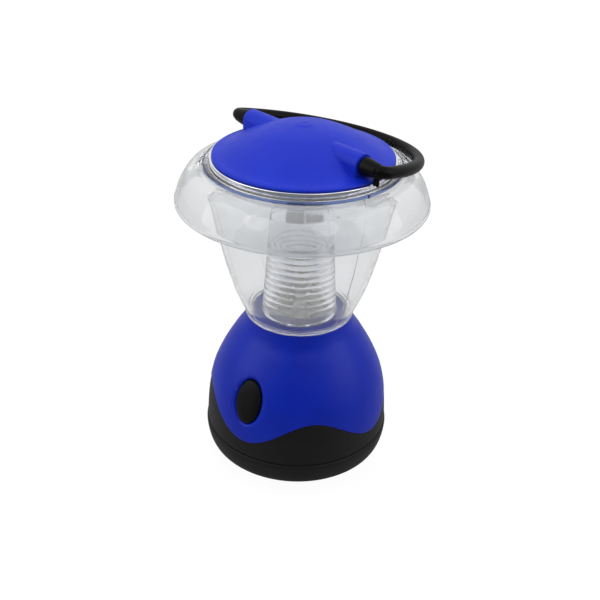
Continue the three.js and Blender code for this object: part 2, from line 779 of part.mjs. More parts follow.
const CHEEK_START = 10;
const cheekDrop = PIVOT_Z - CAP_RIM_Z;
const cheekSection = new THREE.Shape();
cheekSection.moveTo(-CHEEK_RADIUS, -cheekDrop);
cheekSection.lineTo(CHEEK_RADIUS, -cheekDrop);
cheekSection.lineTo(CHEEK_RADIUS, 0);
cheekSection.absarc(0, 0, CHEEK_RADIUS, 0, Math.PI);
cheekSection.lineTo(-CHEEK_RADIUS, -cheekDrop);
let cap = capSkin;
for (const side of [-1, 1]) {
  const cheek = new THREE.ExtrudeGeometry(cheekSection, {
    depth: CHEEK_END - CHEEK_START,
    steps: 1,
    curveSegments: 14,
    bevelEnabled: false,
  });
  cheek.rotateX(Math.PI / 2);
  cheek.rotateZ(Math.PI / 2);
  cheek.translate(CHEEK_START, 0, 0);
  if (side < 0) {
    cheek.rotateZ(Math.PI);
  }
  cap = cap.add(inPivotFrame(cheek));
}
const CAP_POST_TOP = 122.2;
for (const azimuth of CAP_SCREW_AZIMUTHS) {
  const post = rod(2.5, REFLECTOR_WEB_TOP + 0.1, CAP_POST_TOP);
  cap = cap.add(solid(placed(post, at(CAP_SCREW_RING, azimuth))));
}
for (const azimuth of CAP_SCREW_AZIMUTHS) {
  const bore = rod(1.15, REFLECTOR_WEB_TOP - 1, CAP_POST_TOP - 0.8);
  cap = cap.subtract(solid(placed(bore, at(CAP_SCREW_RING, azimuth))));
}
const PIVOT_BORE_DEPTH = 8;
for (const side of [-1, 1]) {
  const bore = turnedOnPivot(
    [
      [0, CHEEK_END - PIVOT_BORE_DEPTH],
      [PIVOT_BORE_RADIUS, CHEEK_END - PIVOT_BORE_DEPTH],
      [PIVOT_BORE_RADIUS, CHEEK_END + 1],
      [0, CHEEK_END + 1],
    ],
    side,
    24,
  );
  cap = cap.subtract(inPivotFrame(bore));
}
add("top_cap", cap, BLUE_CAP);

CAP_SCREW_AZIMUTHS.forEach((azimuth, i) => {
  const screw = panScrew(2.3, 1.2, 1, 1.8);
  add(`cap_screw_${i + 1}`, placed(screw, at(CAP_SCREW_RING, azimuth, REFLECTOR_WEB_BOTTOM - 0.1)), STEEL);
});

// ---- bail handle: pivot pins, conical barrels, elbows and a half-oval loop ----
const PIN_DEPTH = 7;
const BARREL_START = CHEEK_END + 0.4;
const ELBOW_X = 34.4;
const ELBOW_Y = 3.6;
const BARREL_SHOULDER = 32.5;
const PRONG_X = 34.55;
const PRONG_SPACING = 0.65;
const PRONG_REACH = 5.4; // below the pivot axis
const droop = radians(HANDLE_DROOP);
const loopStartAngle = Math.asin(ELBOW_Y / HANDLE_REACH);
const loopPoints = [];
for (let i = 0; i <= 20; i += 1) {
  const a = THREE.MathUtils.lerp(loopStartAngle, Math.PI - loopStartAngle, i / 20);
  loopPoints.push(new THREE.Vector3(HANDLE_HALF_WIDTH * Math.cos(a), HANDLE_REACH * Math.sin(a), 0));
}
const right = loopPoints[0];
const left = loopPoints[loopPoints.length - 1];
const loop = new THREE.CurvePath();
loop.add(
  new THREE.QuadraticBezierCurve3(
    new THREE.Vector3(ELBOW_X, 0, 0),
    new THREE.Vector3(right.x + 0.2, 0, 0),
    right,
  ),
);
loop.add(new THREE.CatmullRomCurve3(loopPoints));
loop.add(
  new THREE.QuadraticBezierCurve3(
    left,
    new THREE.Vector3(left.x - 0.2, 0, 0),
    new THREE.Vector3(-ELBOW_X, 0, 0),
  ),
);
const loopTube = tube(loop, HANDLE_TUBE_RADIUS, 60, 10);
loopTube.rotateX(-droop);
let handle = inPivotFrame(loopTube);
for (const side of [-1, 1]) {
  const barrel = turnedOnPivot(
    [
      [0, CHEEK_END - PIN_DEPTH],
      [PIVOT_PIN_RADIUS - 0.5, CHEEK_END - PIN_DEPTH],
      [PIVOT_PIN_RADIUS, CHEEK_END - PIN_DEPTH + 0.5],
      [PIVOT_PIN_RADIUS, BARREL_START],
      [3.1, BARREL_START],
      [3.1, BARREL_START + 1.5],
      [2.85, BARREL_SHOULDER],
      [2.4, ELBOW_X + 1],
      [0, ELBOW_X + 1.6],
    ],
    side,
    20,
  );
  handle = handle.add(inPivotFrame(barrel));
}
for (const offset of [-PRONG_SPACING, PRONG_SPACING]) {
  const prong = new THREE.BoxGeometry(0.7, 0.9, PRONG_REACH - 2);
  prong.translate(PRONG_X + offset, 0, -(PRONG_REACH + 2) / 2);
  handle = handle.add(inPivotFrame(prong));
}
add("bail_handle", handle, BLACK_RUBBER);

export default lantern;
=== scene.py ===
import math

import bpy
import numpy as np
from mathutils import Matrix, Vector


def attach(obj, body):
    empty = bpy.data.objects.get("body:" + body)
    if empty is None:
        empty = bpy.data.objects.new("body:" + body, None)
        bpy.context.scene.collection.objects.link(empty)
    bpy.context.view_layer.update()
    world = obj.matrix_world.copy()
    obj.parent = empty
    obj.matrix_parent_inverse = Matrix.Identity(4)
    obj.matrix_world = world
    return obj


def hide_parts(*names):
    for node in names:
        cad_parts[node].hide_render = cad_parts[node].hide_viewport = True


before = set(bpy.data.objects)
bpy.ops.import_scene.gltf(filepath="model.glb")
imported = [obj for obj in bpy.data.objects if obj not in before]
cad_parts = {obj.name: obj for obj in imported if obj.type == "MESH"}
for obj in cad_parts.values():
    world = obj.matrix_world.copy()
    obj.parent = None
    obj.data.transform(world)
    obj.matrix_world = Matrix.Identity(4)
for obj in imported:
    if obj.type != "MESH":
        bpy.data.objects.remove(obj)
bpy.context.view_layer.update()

# The lantern's fine surfaces, built in millimetres in the CAD's own frame and scaled to metres at the end.
# An outline is a list of (radius, z) points; a skin is (vertices, faces) of one or more closed surfaces.
# An azimuth is measured in degrees from the front (-Y) towards the right (+X).

MM = 0.001

# ---- sizes the pieces share ----
ROUND = 192
SMALL_ROUND = 48
TINY_ROUND = 24
WAVE_COUNT = 4
WAVE_MEAN = 21.6
WAVE_HEIGHT = 5.65
WAVE_CREST = 11
WAVE_GAP = 0.15
SHELL_WALL = 2.0
NECK_TOP = 57.5
DECK_TOP = 58.6
DECK_UNDER = 57.2
DECK_BORE = 12.6
BUTTON_AZIMUTH = -34
BUTTON_HEIGHT = 32.3
BUTTON_SURFACE_RADIUS = 32.95
BUTTON_TILT = 19
BUTTON_HALF_WIDTH = 5.3
BUTTON_HALF_LENGTH = 8.5
PIVOT_AZIMUTH = 43.8
PIVOT_Z = 125.3
CHEEK_START = 10
CHEEK_END = 28.6
CHEEK_RADIUS = 4
THREAD_PITCH = 4
THREAD_TURNS = 1.25
COVER_TRAVEL = 7
GLOBE_FLANGE_RADIUS = 35.4


# ---- points, outlines and skins ----
def at(radius, azimuth, z=0.0):
    a = math.radians(azimuth)
    return Vector((radius * math.sin(a), -radius * math.cos(a), z))


def spline(knots, per_span=12):
    """Points along the Catmull-Rom curve through the knots."""
    last = len(knots) - 1
    points = []
    for i in range(last):
        a = knots[max(i - 1, 0)]
        b = knots[i]
        c = knots[i + 1]
        d = knots[min(i + 2, last)]
        for k in range(per_span):
            t = k / per_span
            point = []
            for n in range(len(b)):
                linear = (c[n] - a[n]) * t
                square = (2 * a[n] - 5 * b[n] + 4 * c[n] - d[n]) * t * t
                cube = (3 * b[n] - a[n] - 3 * c[n] + d[n]) * t ** 3
                point.append(0.5 * (2 * b[n] + linear + square + cube))
            points.append(tuple(point))
    points.append(tuple(knots[last]))
    return points


def rounded(corners, steps=5):
    """A closed outline from (radius, z, rounding) corners; a corner without rounding stays sharp."""
    outline = []
    count = len(corners)
    for i, corner in enumerate(corners):
        here = Vector(corner[:2])
        rounding = corner[2] if len(corner) > 2 else 0
        if rounding <= 0:
            outline.append(tuple(here))
            continue
        before = Vector(corners[i - 1][:2])
        after = Vector(corners[(i + 1) % count][:2])
        start = here + (before - here).normalized() * min(rounding, (before - here).length * 0.49)
        end = here + (after - here).normalized() * min(rounding, (after - here).length * 0.49)
        for k in range(steps + 1):
            t = k / steps
            outline.append(tuple(start * (1 - t) ** 2 + here * 2 * t * (1 - t) + end * t * t))
    return outline


def evened(outline, longest):
    """The same outline with long straight runs divided, so that every face stays small."""
    points = []
    for a, b in zip(outline, outline[1:]):
        count = max(1, math.ceil(math.dist(a, b) / longest))
        for k in range(count):
            t = k / count
            points.append((a[0] + (b[0] - a[0]) * t, a[1] + (b[1] - a[1]) * t))
    points.append(outline[-1])
    return points


def facing_out(verts, faces):
    """Turns the faces over when the skin's volume comes out negative."""
    points = np.asarray(verts, float)
    corners = np.array([(face[0], face[m], face[m + 1]) for face in faces for m in range(1, len(face) - 1)])
    a, b, c = points[corners[:, 0]], points[corners[:, 1]], points[corners[:, 2]]
    volume = float(np.einsum("ij,ij->i", a, np.cross(b, c)).sum())
    if volume < 0:
        faces = [tuple(reversed(face)) for face in faces]
    return [tuple(v) for v in points], faces


def lofted(outline_at, azimuths):
    """The skin swept through one outline for each azimuth. An outline that starts and ends on the axis is
    left open there; any other outline is closed on itself."""
    first = outline_at(azimuths[0])
    on_axis = first[0][0] < 1e-6 and first[-1][0] < 1e-6
    outlines = [outline_at(a) for a in azimuths]
    count = len(first)
    verts = []
    if on_axis:
        verts = [(0, 0, first[0][1]), (0, 0, first[-1][1])]
        kept = range(1, count - 1)
    else:
        kept = range(count)
    base = len(verts)
    width = len(kept)
    for azimuth, outline in zip(azimuths, outlines):
        for j in kept:
            verts.append(tuple(at(outline[j][0], azimuth, outline[j][1])))
    faces = []
    turns = len(azimuths)
    for i in range(turns):
        here = base + i * width
        there = base + ((i + 1) % turns) * width
        for j in range(width - 1):
            faces.append((here + j, there + j, there + j + 1, here + j + 1))
        if on_axis:
            faces.append((0, there, here))
            faces.append((1, here + width - 1, there + width - 1))
        else:
            faces.append((here + width - 1, there + width - 1, there, here))
    return facing_out(verts, faces)


def evenly(count):
    return [i * 360 / count for i in range(count)]


def lathe(outline, count=ROUND):
    return lofted(lambda azimuth: outline, evenly(count))


def ring(inner, outer, bottom, top, rounding=0.25, count=SMALL_ROUND):
    corners = []
    for r, z in ((inner, bottom), (outer, bottom), (outer, top), (inner, top)):
        corners.append((r, z, rounding))
    return lathe(rounded(corners, 3), count)


def rod(radius, bottom, top, rounding=0.25, count=TINY_ROUND):
    corners = [(0, bottom), (radius, bottom, rounding), (radius, top, rounding), (0, top)]
    return lathe(rounded(corners, 3), count)


def moved(skin, matrix):
    verts, faces = skin
    turn = np.array(matrix)[:3, :3]
    offset = np.array(matrix)[:3, 3]
    placed = [tuple(v) for v in np.asarray(verts, float) @ turn.T + offset]
    return placed, faces


def shifted(skin, offset):
    return moved(skin, Matrix.Translation(offset))


def scaled(skin, x, y):
    return moved(skin, Matrix.Diagonal((x, y, 1.0, 1.0)))


def together(*skins):
    verts = []
    faces = []
    for more_verts, more_faces in skins:
        start = len(verts)
        verts.extend(more_verts)
        faces.extend(tuple(start + i for i in face) for face in more_faces)
    return verts, faces


def as_object(skin, name, scale=1.0):
    mesh = bpy.data.meshes.new(name)
    mesh.from_pydata([tuple(c * scale for c in v) for v in skin[0]], [], skin[1])
    mesh.update()
    obj = bpy.data.objects.new(name, mesh)
    bpy.context.scene.collection.objects.link(obj)
    return obj


def combined(skin, other, operation):
    """The exact boolean of two skins."""
    body = as_object(skin, "boolean_body")
    tool = as_object(other, "boolean_tool")
    modifier = body.modifiers.new("boolean", "BOOLEAN")
    modifier.operation = operation
    modifier.solver = "EXACT"
    modifier.use_self = False
    modifier.object = tool
    bpy.context.view_layer.update()
    result = body.evaluated_get(bpy.context.evaluated_depsgraph_get()).to_mesh()
    verts = [tuple(v.co) for v in result.vertices]
    faces = [tuple(p.vertices) for p in result.polygons]
    for obj in (body, tool):
        mesh = obj.data
        bpy.data.objects.remove(obj)
        bpy.data.meshes.remove(mesh)
    return verts, faces


def cut(skin, *tools):
    for tool in tools:
        skin = combined(skin, tool, "DIFFERENCE")
    return skin


def fused(skin, *others):
    for other in others:
        skin = combined(skin, other, "UNION")
    return skin


def swept(path, radius, sides=TINY_ROUND, end_taper=0.0):
    """A closed round tube along a path of points. end_taper is the share of the path over which it thins
    towards each end."""
    points = [Vector(p) for p in path]
    verts = []
    faces = []
    normal = None
    last = len(points) - 1
    for i, point in enumerate(points):
        tangent = (points[min(i + 1, last)] - points[max(i - 1, 0)]).normalized()
        if normal is None:
            normal = tangent.orthogonal().normalized()
        else:
            normal = (normal - tangent * normal.dot(tangent)).normalized()
        side = tangent.cross(normal)
        size = radius
        if end_taper > 0:
            share = min(i, last - i) / last / end_taper
            size = radius * max(0.12, min(1.0, share) ** 0.5)
        for k in range(sides):
            a = 2 * math.pi * k / sides
            verts.append(tuple(point + (normal * math.cos(a) + side * math.sin(a)) * size))
    for i in range(last):
        for k in range(sides):
            following = (k + 1) % sides
            here = i * sides
            there = here + sides
            faces.append((here + k, here + following, there + following, there + k))
    faces.append(tuple(reversed(range(sides))))
    faces.append(tuple(last * sides + k for k in range(sides)))
    return facing_out(verts, faces)


def helix(start_radius, end_radius, start_z, end_z, turns, phase=0.0, per_turn=64):
    count = int(turns * per_turn)
    points = []
    for i in range(count + 1):
        t = i / count
        a = phase + 2 * math.pi * turns * t
        radius = start_radius + (end_radius - start_radius) * t
        points.append((radius * math.cos(a), radius * math.sin(a), start_z + (end_z - start_z) * t))
    return points


def block(width, length, bottom, top, x=0.0, y=0.0):
    verts = []
    for z in (bottom, top):
        for sx, sy in ((-1, -1), (1, -1), (1, 1), (-1, 1)):
            verts.append((x + sx * width / 2, y + sy * length / 2, z))
    faces = [(3, 2, 1, 0), (4, 5, 6, 7), (0, 1, 5, 4), (1, 2, 6, 5), (2, 3, 7, 6), (3, 0, 4, 7)]
    return verts, faces


# ---- the button's and the handle's own frames ----
button_out = at(math.cos(math.radians(BUTTON_TILT)), BUTTON_AZIMUTH, math.sin(math.radians(BUTTON_TILT)))
button_level = at(1, BUTTON_AZIMUTH + 90)
button_up = button_out.cross(button_level)
BUTTON_CENTRE = at(BUTTON_SURFACE_RADIUS, BUTTON_AZIMUTH, BUTTON_HEIGHT)
button_frame = Matrix((button_level, button_up, button_out)).transposed().to_4x4()
button_frame.translation = BUTTON_CENTRE

pivot_axes = Matrix((at(1, PIVOT_AZIMUTH), at(1, PIVOT_AZIMUTH + 90), Vector((0, 0, 1))))
pivot_frame = pivot_axes.transposed().to_4x4()
pivot_frame.translation = Vector((0, 0, PIVOT_Z))


def on_pivot(outline, side, count=SMALL_ROUND):
    """A (radius, distance along the pivot axis) outline turned about that axis."""
    return moved(lathe(outline, count), pivot_frame @ Matrix.Rotation(side * math.pi / 2, 4, "Y"))


# ---- procedural materials ----
class Nodes:
    """A small helper that adds nodes to one material and joins them."""

    def __init__(self, name):
        self.material = bpy.data.materials.new(name)
        self.material.use_nodes = True
        self.tree = self.material.node_tree
        self.tree.nodes.clear()
        self.output = self.tree.nodes.new("ShaderNodeOutputMaterial")
        self.coordinates = self.tree.nodes.new("ShaderNodeTexCoord").outputs["Object"]

    def add(self, kind, inputs=None, **settings):
        node = self.tree.nodes.new(kind)
        for key, value in settings.items():
            setattr(node, key, value)
        for key, value in (inputs or {}).items():
            socket = node.inputs[key]
            if isinstance(value, bpy.types.NodeSocket):
                self.tree.links.new(value, socket)
            else:
                socket.default_value = value
        return node

    def stretched(self, scale):
        node = self.add("ShaderNodeMapping", {"Vector": self.coordinates, "Scale": scale})
        return node.outputs["Vector"]

    def noise(self, size, detail=2.0, roughness=0.5, vector=None):
        """Noise with features about size millimetres across."""
        inputs = {
            "Vector": vector or self.coordinates,
            "Scale": 1 / (size * MM),
            "Detail": detail,
            "Roughness": roughness,
        }
        return self.add("ShaderNodeTexNoise", inputs).outputs["Fac"]

    def range(self, value, low, high, to_low=0.0, to_high=1.0):
        inputs = {"Value": value, "From Min": low, "From Max": high, "To Min": to_low, "To Max": to_high}
        return self.add("ShaderNodeMapRange", inputs).outputs["Result"]

    def math(self, operation, a, b):
        node = self.add("ShaderNodeMath", {0: a, 1: b}, operation=operation)
        return node.outputs["Value"]

    def mix(self, share, a, b, blend="MIX"):
        node = self.add("ShaderNodeMix", data_type="RGBA", blend_type=blend)
        for index, value in ((0, share), (6, a), (7, b)):
            if isinstance(value, bpy.types.NodeSocket):
                self.tree.links.new(value, node.inputs[index])
            else:
                node.inputs[index].default_value = value
        return node.outputs[2]

    def bump(self, height, depth, normal=None):
        inputs = {"Height": height, "Distance": depth * MM, "Strength": 1.0}
        if normal is not None:
            inputs["Normal"] = normal
        return self.add("ShaderNodeBump", inputs).outputs["Normal"]

    def edges(self, low, high):
        """1 on worn outward edges, 0 elsewhere."""
        pointiness = self.add("ShaderNodeNewGeometry").outputs["Pointiness"]
        return self.range(pointiness, low, high)

    def finish(self, **inputs):
        node = self.add("ShaderNodeBsdfPrincipled", inputs)
        self.tree.links.new(node.outputs["BSDF"], self.output.inputs["Surface"])
        return self.material


def colour(red, green, blue):
    return (red, green, blue, 1.0)


def moulded(name, main, deep, worn, roughness=0.42, grain=0.3, grain_depth=0.01, soft_edge=0.0, spec=0.5):
    """Moulded plastic: broad flow tints, fine grain, rubbed edges and slightly uneven gloss."""
    n = Nodes(name)
    flow = n.noise(16, 3, 0.55, n.stretched((1, 1, 0.45)))
    fine = n.noise(grain, 2)
    rub = n.noise(2.6, 4, 0.7)
    tint = n.mix(n.range(flow, 0.35, 0.68), main, deep)
    wear = n.math("MULTIPLY", n.edges(0.53, 0.62), n.range(rub, 0.42, 0.62))
    tint = n.mix(n.math("MULTIPLY", wear, 0.5), tint, worn)
    fleck = n.range(fine, 0.3, 0.7, 0.94, 1.06)
    flecks = n.add("ShaderNodeCombineColor", {0: fleck, 1: fleck, 2: fleck}).outputs[0]
    tint = n.mix(1.0, tint, flecks, "MULTIPLY")
    uneven = n.range(rub, 0.3, 0.7, -0.035, 0.045)
    gloss = n.math("ADD", uneven, n.range(flow, 0.3, 0.7, roughness - 0.03, roughness + 0.03))
    gloss = n.math("ADD", gloss, n.math("MULTIPLY", wear, 0.12))
    normal = None
    if soft_edge > 0:
        normal = n.add("ShaderNodeBevel", {"Radius": soft_edge * MM}, samples=6).outputs["Normal"]
    normal = n.bump(fine, grain_depth, normal)
    return n.finish(
        **{
            "Base Color": tint,
            "Roughness": gloss,
            "Normal": normal,
            "Specular IOR Level": spec,
        }
    )


PLASTIC_IOR = 1.49
# painted reflection: the blue cap as seen in the outer edge of the globe's flange
PAINTED_CAP_REFLECTION_BLUE = colour(0.035, 0.07, 0.28)


def clear(name, tint, clarity, waviness=0.02, spec=0.5, painted_reflection_above=None):
    """Clear moulded plastic: a faint grey tint, shallow flow waves and very fine handling marks.
    The height given for the blue edge, in millimetres, is where the flange's outer edge starts to show a
    painted blue reflection of the cap."""
    n = Nodes(name)
    flow = n.noise(9, 2, 0.5, n.stretched((1, 1, 0.5)))
    marks = n.noise(0.9, 3, 0.7, n.stretched((1, 1, 6)))
    shade = n.mix(n.range(flow, 0.35, 0.65), tint, colour(tint[0] * 0.97, tint[1] * 0.975, tint[2] * 0.985))
    # paints a blue reflection of the cap onto the flange's outer edge above the given height
    if painted_reflection_above is not None:
        place = n.add("ShaderNodeSeparateXYZ", {0: n.coordinates}).outputs
        flat = n.add("ShaderNodeCombineXYZ", {0: place["X"], 1: place["Y"]}).outputs[0]
        reach = n.add("ShaderNodeVectorMath", {0: flat}, operation="LENGTH").outputs["Value"]
        outer = n.range(reach, (GLOBE_FLANGE_RADIUS - 0.7) * MM, (GLOBE_FLANGE_RADIUS - 0.3) * MM)
        above = n.range(place["Z"], (painted_reflection_above - 0.1) * MM, (painted_reflection_above + 0.1) * MM)
        shade = n.mix(n.math("MULTIPLY", outer, above), shade, PAINTED_CAP_REFLECTION_BLUE)
    gloss = n.range(marks, 0.45, 0.75, 0.03, 0.08)
    normal = n.bump(flow, waviness)
    return n.finish(
        **{
            "Base Color": shade,
            "Roughness": gloss,
            "IOR": PLASTIC_IOR,
            "Transmission Weight": clarity,
            "Specular IOR Level": spec,
            "Normal": normal,
        }
    )


def metal(name, tint, dark, roughness=0.28, brushed=(1, 1, 12), waviness=0.004):
    """Bright metal: fine drawn lines and faint tarnish in patches."""
    n = Nodes(name)
    lines = n.noise(0.5, 3, 0.6, n.stretched(brushed))
    patches = n.noise(3.5, 4, 0.65)
    shade = n.mix(n.range(patches, 0.45, 0.75), tint, dark)
    drawn = n.range(lines, 0.3, 0.7, -0.05, 0.07)
    gloss = n.math("ADD", drawn, n.range(patches, 0.3, 0.7, roughness - 0.03, roughness + 0.06))
    normal = n.bump(lines, waviness)
    return n.finish(**{"Base Color": shade, "Roughness": gloss, "Metallic": 1.0, "Normal": normal})


BLUE = moulded(
    "blue_housing",
    colour(0.002, 0.02, 0.41),
    colour(0.0015, 0.015, 0.357),
    colour(0.03, 0.08, 0.53),
    roughness=0.36,
    spec=0.18,
    grain=0.35,
    grain_depth=0.006,
    soft_edge=0.35,
)
BLUE_CAP = moulded(
    "blue_cap_plastic",
    colour(0.004, 0.026, 0.54),
    colour(0.003, 0.021, 0.49),
    colour(0.04, 0.10, 0.64),
    roughness=0.42,
    spec=0.19,
    grain=0.35,
    grain_depth=0.006,
    soft_edge=0.45,
)
BLACK = moulded(
    "black_band_plastic",
    colour(0.0055, 0.0056, 0.0062),
    colour(0.0042, 0.0043, 0.0047),
    colour(0.016, 0.016, 0.017),
    roughness=0.5,
    spec=0.2,
    grain=0.22,
    grain_depth=0.012,
)
CAGE_BLACK = moulded(
    "cage_plastic",
    colour(0.012, 0.012, 0.013),
    colour(0.008, 0.008, 0.009),
    colour(0.035, 0.035, 0.037),
    roughness=0.45,
    soft_edge=0.2,
)
BUTTON_RUBBER = moulded(
    "button_rubber_skin",
    colour(0.004, 0.004, 0.0043),
    colour(0.003, 0.003, 0.0033),
    colour(0.010, 0.010, 0.011),
    roughness=0.48,
    grain=0.2,
    grain_depth=0.015,
    spec=0.11,
)
SEAL_RUBBER = moulded(
    "seal_rubber",
    colour(0.011, 0.011, 0.011),
    colour(0.008, 0.008, 0.008),
    colour(0.03, 0.03, 0.03),
    roughness=0.62,
)
HANDLE_BLACK = moulded(
    "handle_plastic",
    colour(0.004, 0.004, 0.0043),
    colour(0.003, 0.003, 0.0033),
    colour(0.012, 0.012, 0.012),
    roughness=0.32,
    spec=0.07,
    grain=0.3,
    grain_depth=0.008,
    soft_edge=0.5,
)
GREY = moulded(
    "grey_carrier_plastic",
    colour(0.18, 0.185, 0.2),
    colour(0.14, 0.145, 0.155),
    colour(0.34, 0.345, 0.36),
    roughness=0.5,
    soft_edge=0.15,
)
SOLDER_MASK_GREEN = moulded(
    "green_board",
    colour(0.014, 0.11, 0.035),
    colour(0.01, 0.075, 0.025),
    colour(0.3, 0.28, 0.12),
    roughness=0.35,
    grain=0.5,
)
SOLDER_MASK_WHITE = moulded(
    "white_board",
    colour(0.75, 0.76, 0.75),
    colour(0.66, 0.67, 0.66),
    colour(0.85, 0.84, 0.8),
    roughness=0.4,
    grain=0.5,
)
RESISTOR_BLUE = moulded(
    "resistor_lacquer",
    colour(0.16, 0.34, 0.55),
    colour(0.12, 0.27, 0.46),
    colour(0.4, 0.55, 0.7),
    roughness=0.3,
)
SLEEVE_RED = moulded(
    "red_sleeve",
    colour(0.42, 0.012, 0.012),
    colour(0.33, 0.008, 0.008),
    colour(0.6, 0.1, 0.08),
    roughness=0.45,
)
SLEEVE_BLACK = moulded(
    "black_sleeve",
    colour(0.01, 0.01, 0.01),
    colour(0.007, 0.007, 0.007),
    colour(0.05, 0.05, 0.05),
    roughness=0.45,
)
CELL_SLEEVE = moulded(
    "cell_sleeve",
    colour(0.2, 0.24, 0.22),
    colour(0.16, 0.2, 0.18),
    colour(0.6, 0.6, 0.58),
    roughness=0.28,
    grain=0.6,
    grain_depth=0.004,
)
LED_EPOXY = moulded(
    "led_epoxy",
    colour(0.82, 0.82, 0.74),
    colour(0.74, 0.74, 0.66),
    colour(0.9, 0.9, 0.86),
    roughness=0.12,
    grain=0.8,
    grain_depth=0.002,
)
STEEL = metal("screw_steel", colour(0.62, 0.64, 0.66), colour(0.42, 0.43, 0.44))
SPRING_STEEL = metal("spring_steel", colour(0.6, 0.6, 0.6), colour(0.38, 0.37, 0.36), roughness=0.24)
BRASS = metal("contact_brass", colour(0.72, 0.52, 0.2), colour(0.5, 0.34, 0.12), roughness=0.3)
CHROME = metal(
    "vacuum_metal",
    colour(0.93, 0.935, 0.945),
    colour(0.86, 0.87, 0.885),
    roughness=0.07,
    brushed=(1, 1, 1),
    waviness=0.003,
)
# the globe's flange edge carries a painted blue reflection of the cap from 116.8 mm up
GLOBE_CLEAR = clear("globe_plastic", colour(0.975, 0.98, 0.985), clarity=0.94, painted_reflection_above=116.8)
SHADE_CLEAR = clear("shade_plastic", colour(0.79, 0.8, 0.81), clarity=0.96, spec=0.25)
LENS_CLEAR = clear("lens_plastic", colour(0.995, 0.997, 1.0), clarity=0.96, waviness=0.01)


def shaded(obj, material, sharp=38):
    obj.data.materials.clear()
    obj.data.materials.append(material)
    obj.data.shade_smooth()
    obj.data.set_sharp_from_angle(angle=math.radians(sharp))


def piece(node, skin, body, material, sharp=38):
    """The visible object that stands for one CAD node."""
    obj = as_object(skin, node + "_look", MM)
    shaded(obj, material, sharp)
    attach(obj, body)
    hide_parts(node)


# ---- housing ----
shell_knots = [
    (36.2, 12),
    (35.6, 20),
    (34.6, 26),
    (32.9, 32.5),
    (29.6, 40),
    (25.3, 47.5),
    (22, 52.6),
    (20.2, NECK_TOP),
]
shell_curve = spline(shell_knots, 40)
shell_heights = [z for r, z in shell_curve]
shell_radii = [r for r, z in shell_curve]


def shell_radius(z):
    return float(np.interp(z, shell_heights, shell_radii))


def wave_height(azimuth):
    return WAVE_MEAN + WAVE_HEIGHT * math.cos(math.radians(WAVE_COUNT * (azimuth - WAVE_CREST)))


SHELL_ROWS = 62
EDGE_ROUNDING = 0.3
RAIL_RADIUS = 17.7  # the raised deck inside the globe's foot


def shell_outline(azimuth):
    edge = wave_height(azimuth)
    outline = []
    top = NECK_TOP - 0.7
    for k in range(SHELL_ROWS + 1):
        z = edge + EDGE_ROUNDING + (top - edge - EDGE_ROUNDING) * k / SHELL_ROWS
        outline.append((shell_radius(z), z))
    neck = shell_radius(top)
    outline += [(neck - 0.02, NECK_TOP - 0.4), (neck - 0.14, NECK_TOP - 0.15)]
    outline += [(neck - 0.4, NECK_TOP - 0.02), (neck - 0.7, NECK_TOP)]
    outline += [(RAIL_RADIUS + 0.05, NECK_TOP), (RAIL_RADIUS, NECK_TOP + 0.05), (RAIL_RADIUS, DECK_TOP - 0.3)]
    outline += [(RAIL_RADIUS - 0.1, DECK_TOP - 0.08), (RAIL_RADIUS - 0.35, DECK_TOP)]
    outline += [(15.5, DECK_TOP), (12.85, DECK_TOP), (DECK_BORE, DECK_TOP - 0.25), (DECK_BORE, DECK_UNDER)]
    outline += [(17.1, DECK_UNDER), (18.5, 55.2)]
    inner_top = 53.5
    inner_rows = SHELL_ROWS // 2
    for k in range(inner_rows + 1):
        z = inner_top + (edge + 0.2 - inner_top) * k / inner_rows
        outline.append((shell_radius(z) - SHELL_WALL, z))
    bottom = shell_radius(edge)
    outline += [(bottom - SHELL_WALL + 0.2, edge), (bottom - EDGE_ROUNDING, edge)]
    outline += [(bottom - 0.09, edge + 0.09)]
    return outline


SHELL_ROUND = 320
DISH_SEMI = (9.6, 13.4, 3.0)
DISH_LIFT = 1.3
DISH_BLEND = 0.5
DISH_REACH = 3.1  # how far inside the button's plane the outer wall still counts


def dished(skin):
    """Presses the soft dish for the button into the outer surface."""
    verts, faces = skin
    to_button = button_frame.inverted()
    result = []
    for v in verts:
        q = to_button @ Vector(v)
        reach = (q.x / DISH_SEMI[0]) ** 2 + (q.y / DISH_SEMI[1]) ** 2
        if reach < 1 and q.z > -DISH_REACH:
            floor = DISH_LIFT - DISH_SEMI[2] * math.sqrt(1 - reach)
            share = max(0.0, min(1.0, 0.5 + 0.5 * (q.z - floor) / DISH_BLEND))
            q.z = q.z + (floor - q.z) * share - DISH_BLEND * share * (1 - share)
            v = tuple(button_frame @ q)
        result.append(v)
    return result, faces


hole_outline = [
    (0, -9),
    (1, -9),
    (1, -1.85),
    (1.012, -1.55),
    (1.04, -1.3),
    (1.075, -1.15),
    (1.12, -1.0),
    (1.3, -0.2),
    (1.3, 4),
    (0, 4),
]
hole = scaled(lathe(hole_outline, 96), BUTTON_HALF_WIDTH + 0.3, BUTTON_HALF_LENGTH + 0.3)
shell = dished(lofted(shell_outline, evenly(SHELL_ROUND)))
shell = cut(shell, moved(hole, button_frame))
guide_outline = rounded([(1.01, -3.8, 0.03), (1.27, -3.8, 0.03), (1.27, -1.9), (1.01, -1.9)], 2)
guide = scaled(lathe(guide_outline, 64), BUTTON_HALF_WIDTH + 0.3, BUTTON_HALF_LENGTH + 0.3)
inside = [moved(guide, button_frame)]
STAKE_X = 8.2
STAKE_Y = -3
pillar_corners = [(0, -14.8), (1.1, -14.8, 0.3), (1.1, -12.6), (1.7, -12.6, 0.2), (1.7, -2.6), (0, -2.6)]
pillar = lathe(rounded(pillar_corners, 3), TINY_ROUND)
for side in (-1, 1):
    inside.append(moved(shifted(pillar, (side * STAKE_X, STAKE_Y, 0)), button_frame))
POST_AZIMUTHS = [BUTTON_AZIMUTH + turn + 60 for turn in (0, 120, -120)]
POST_RING = 24.5
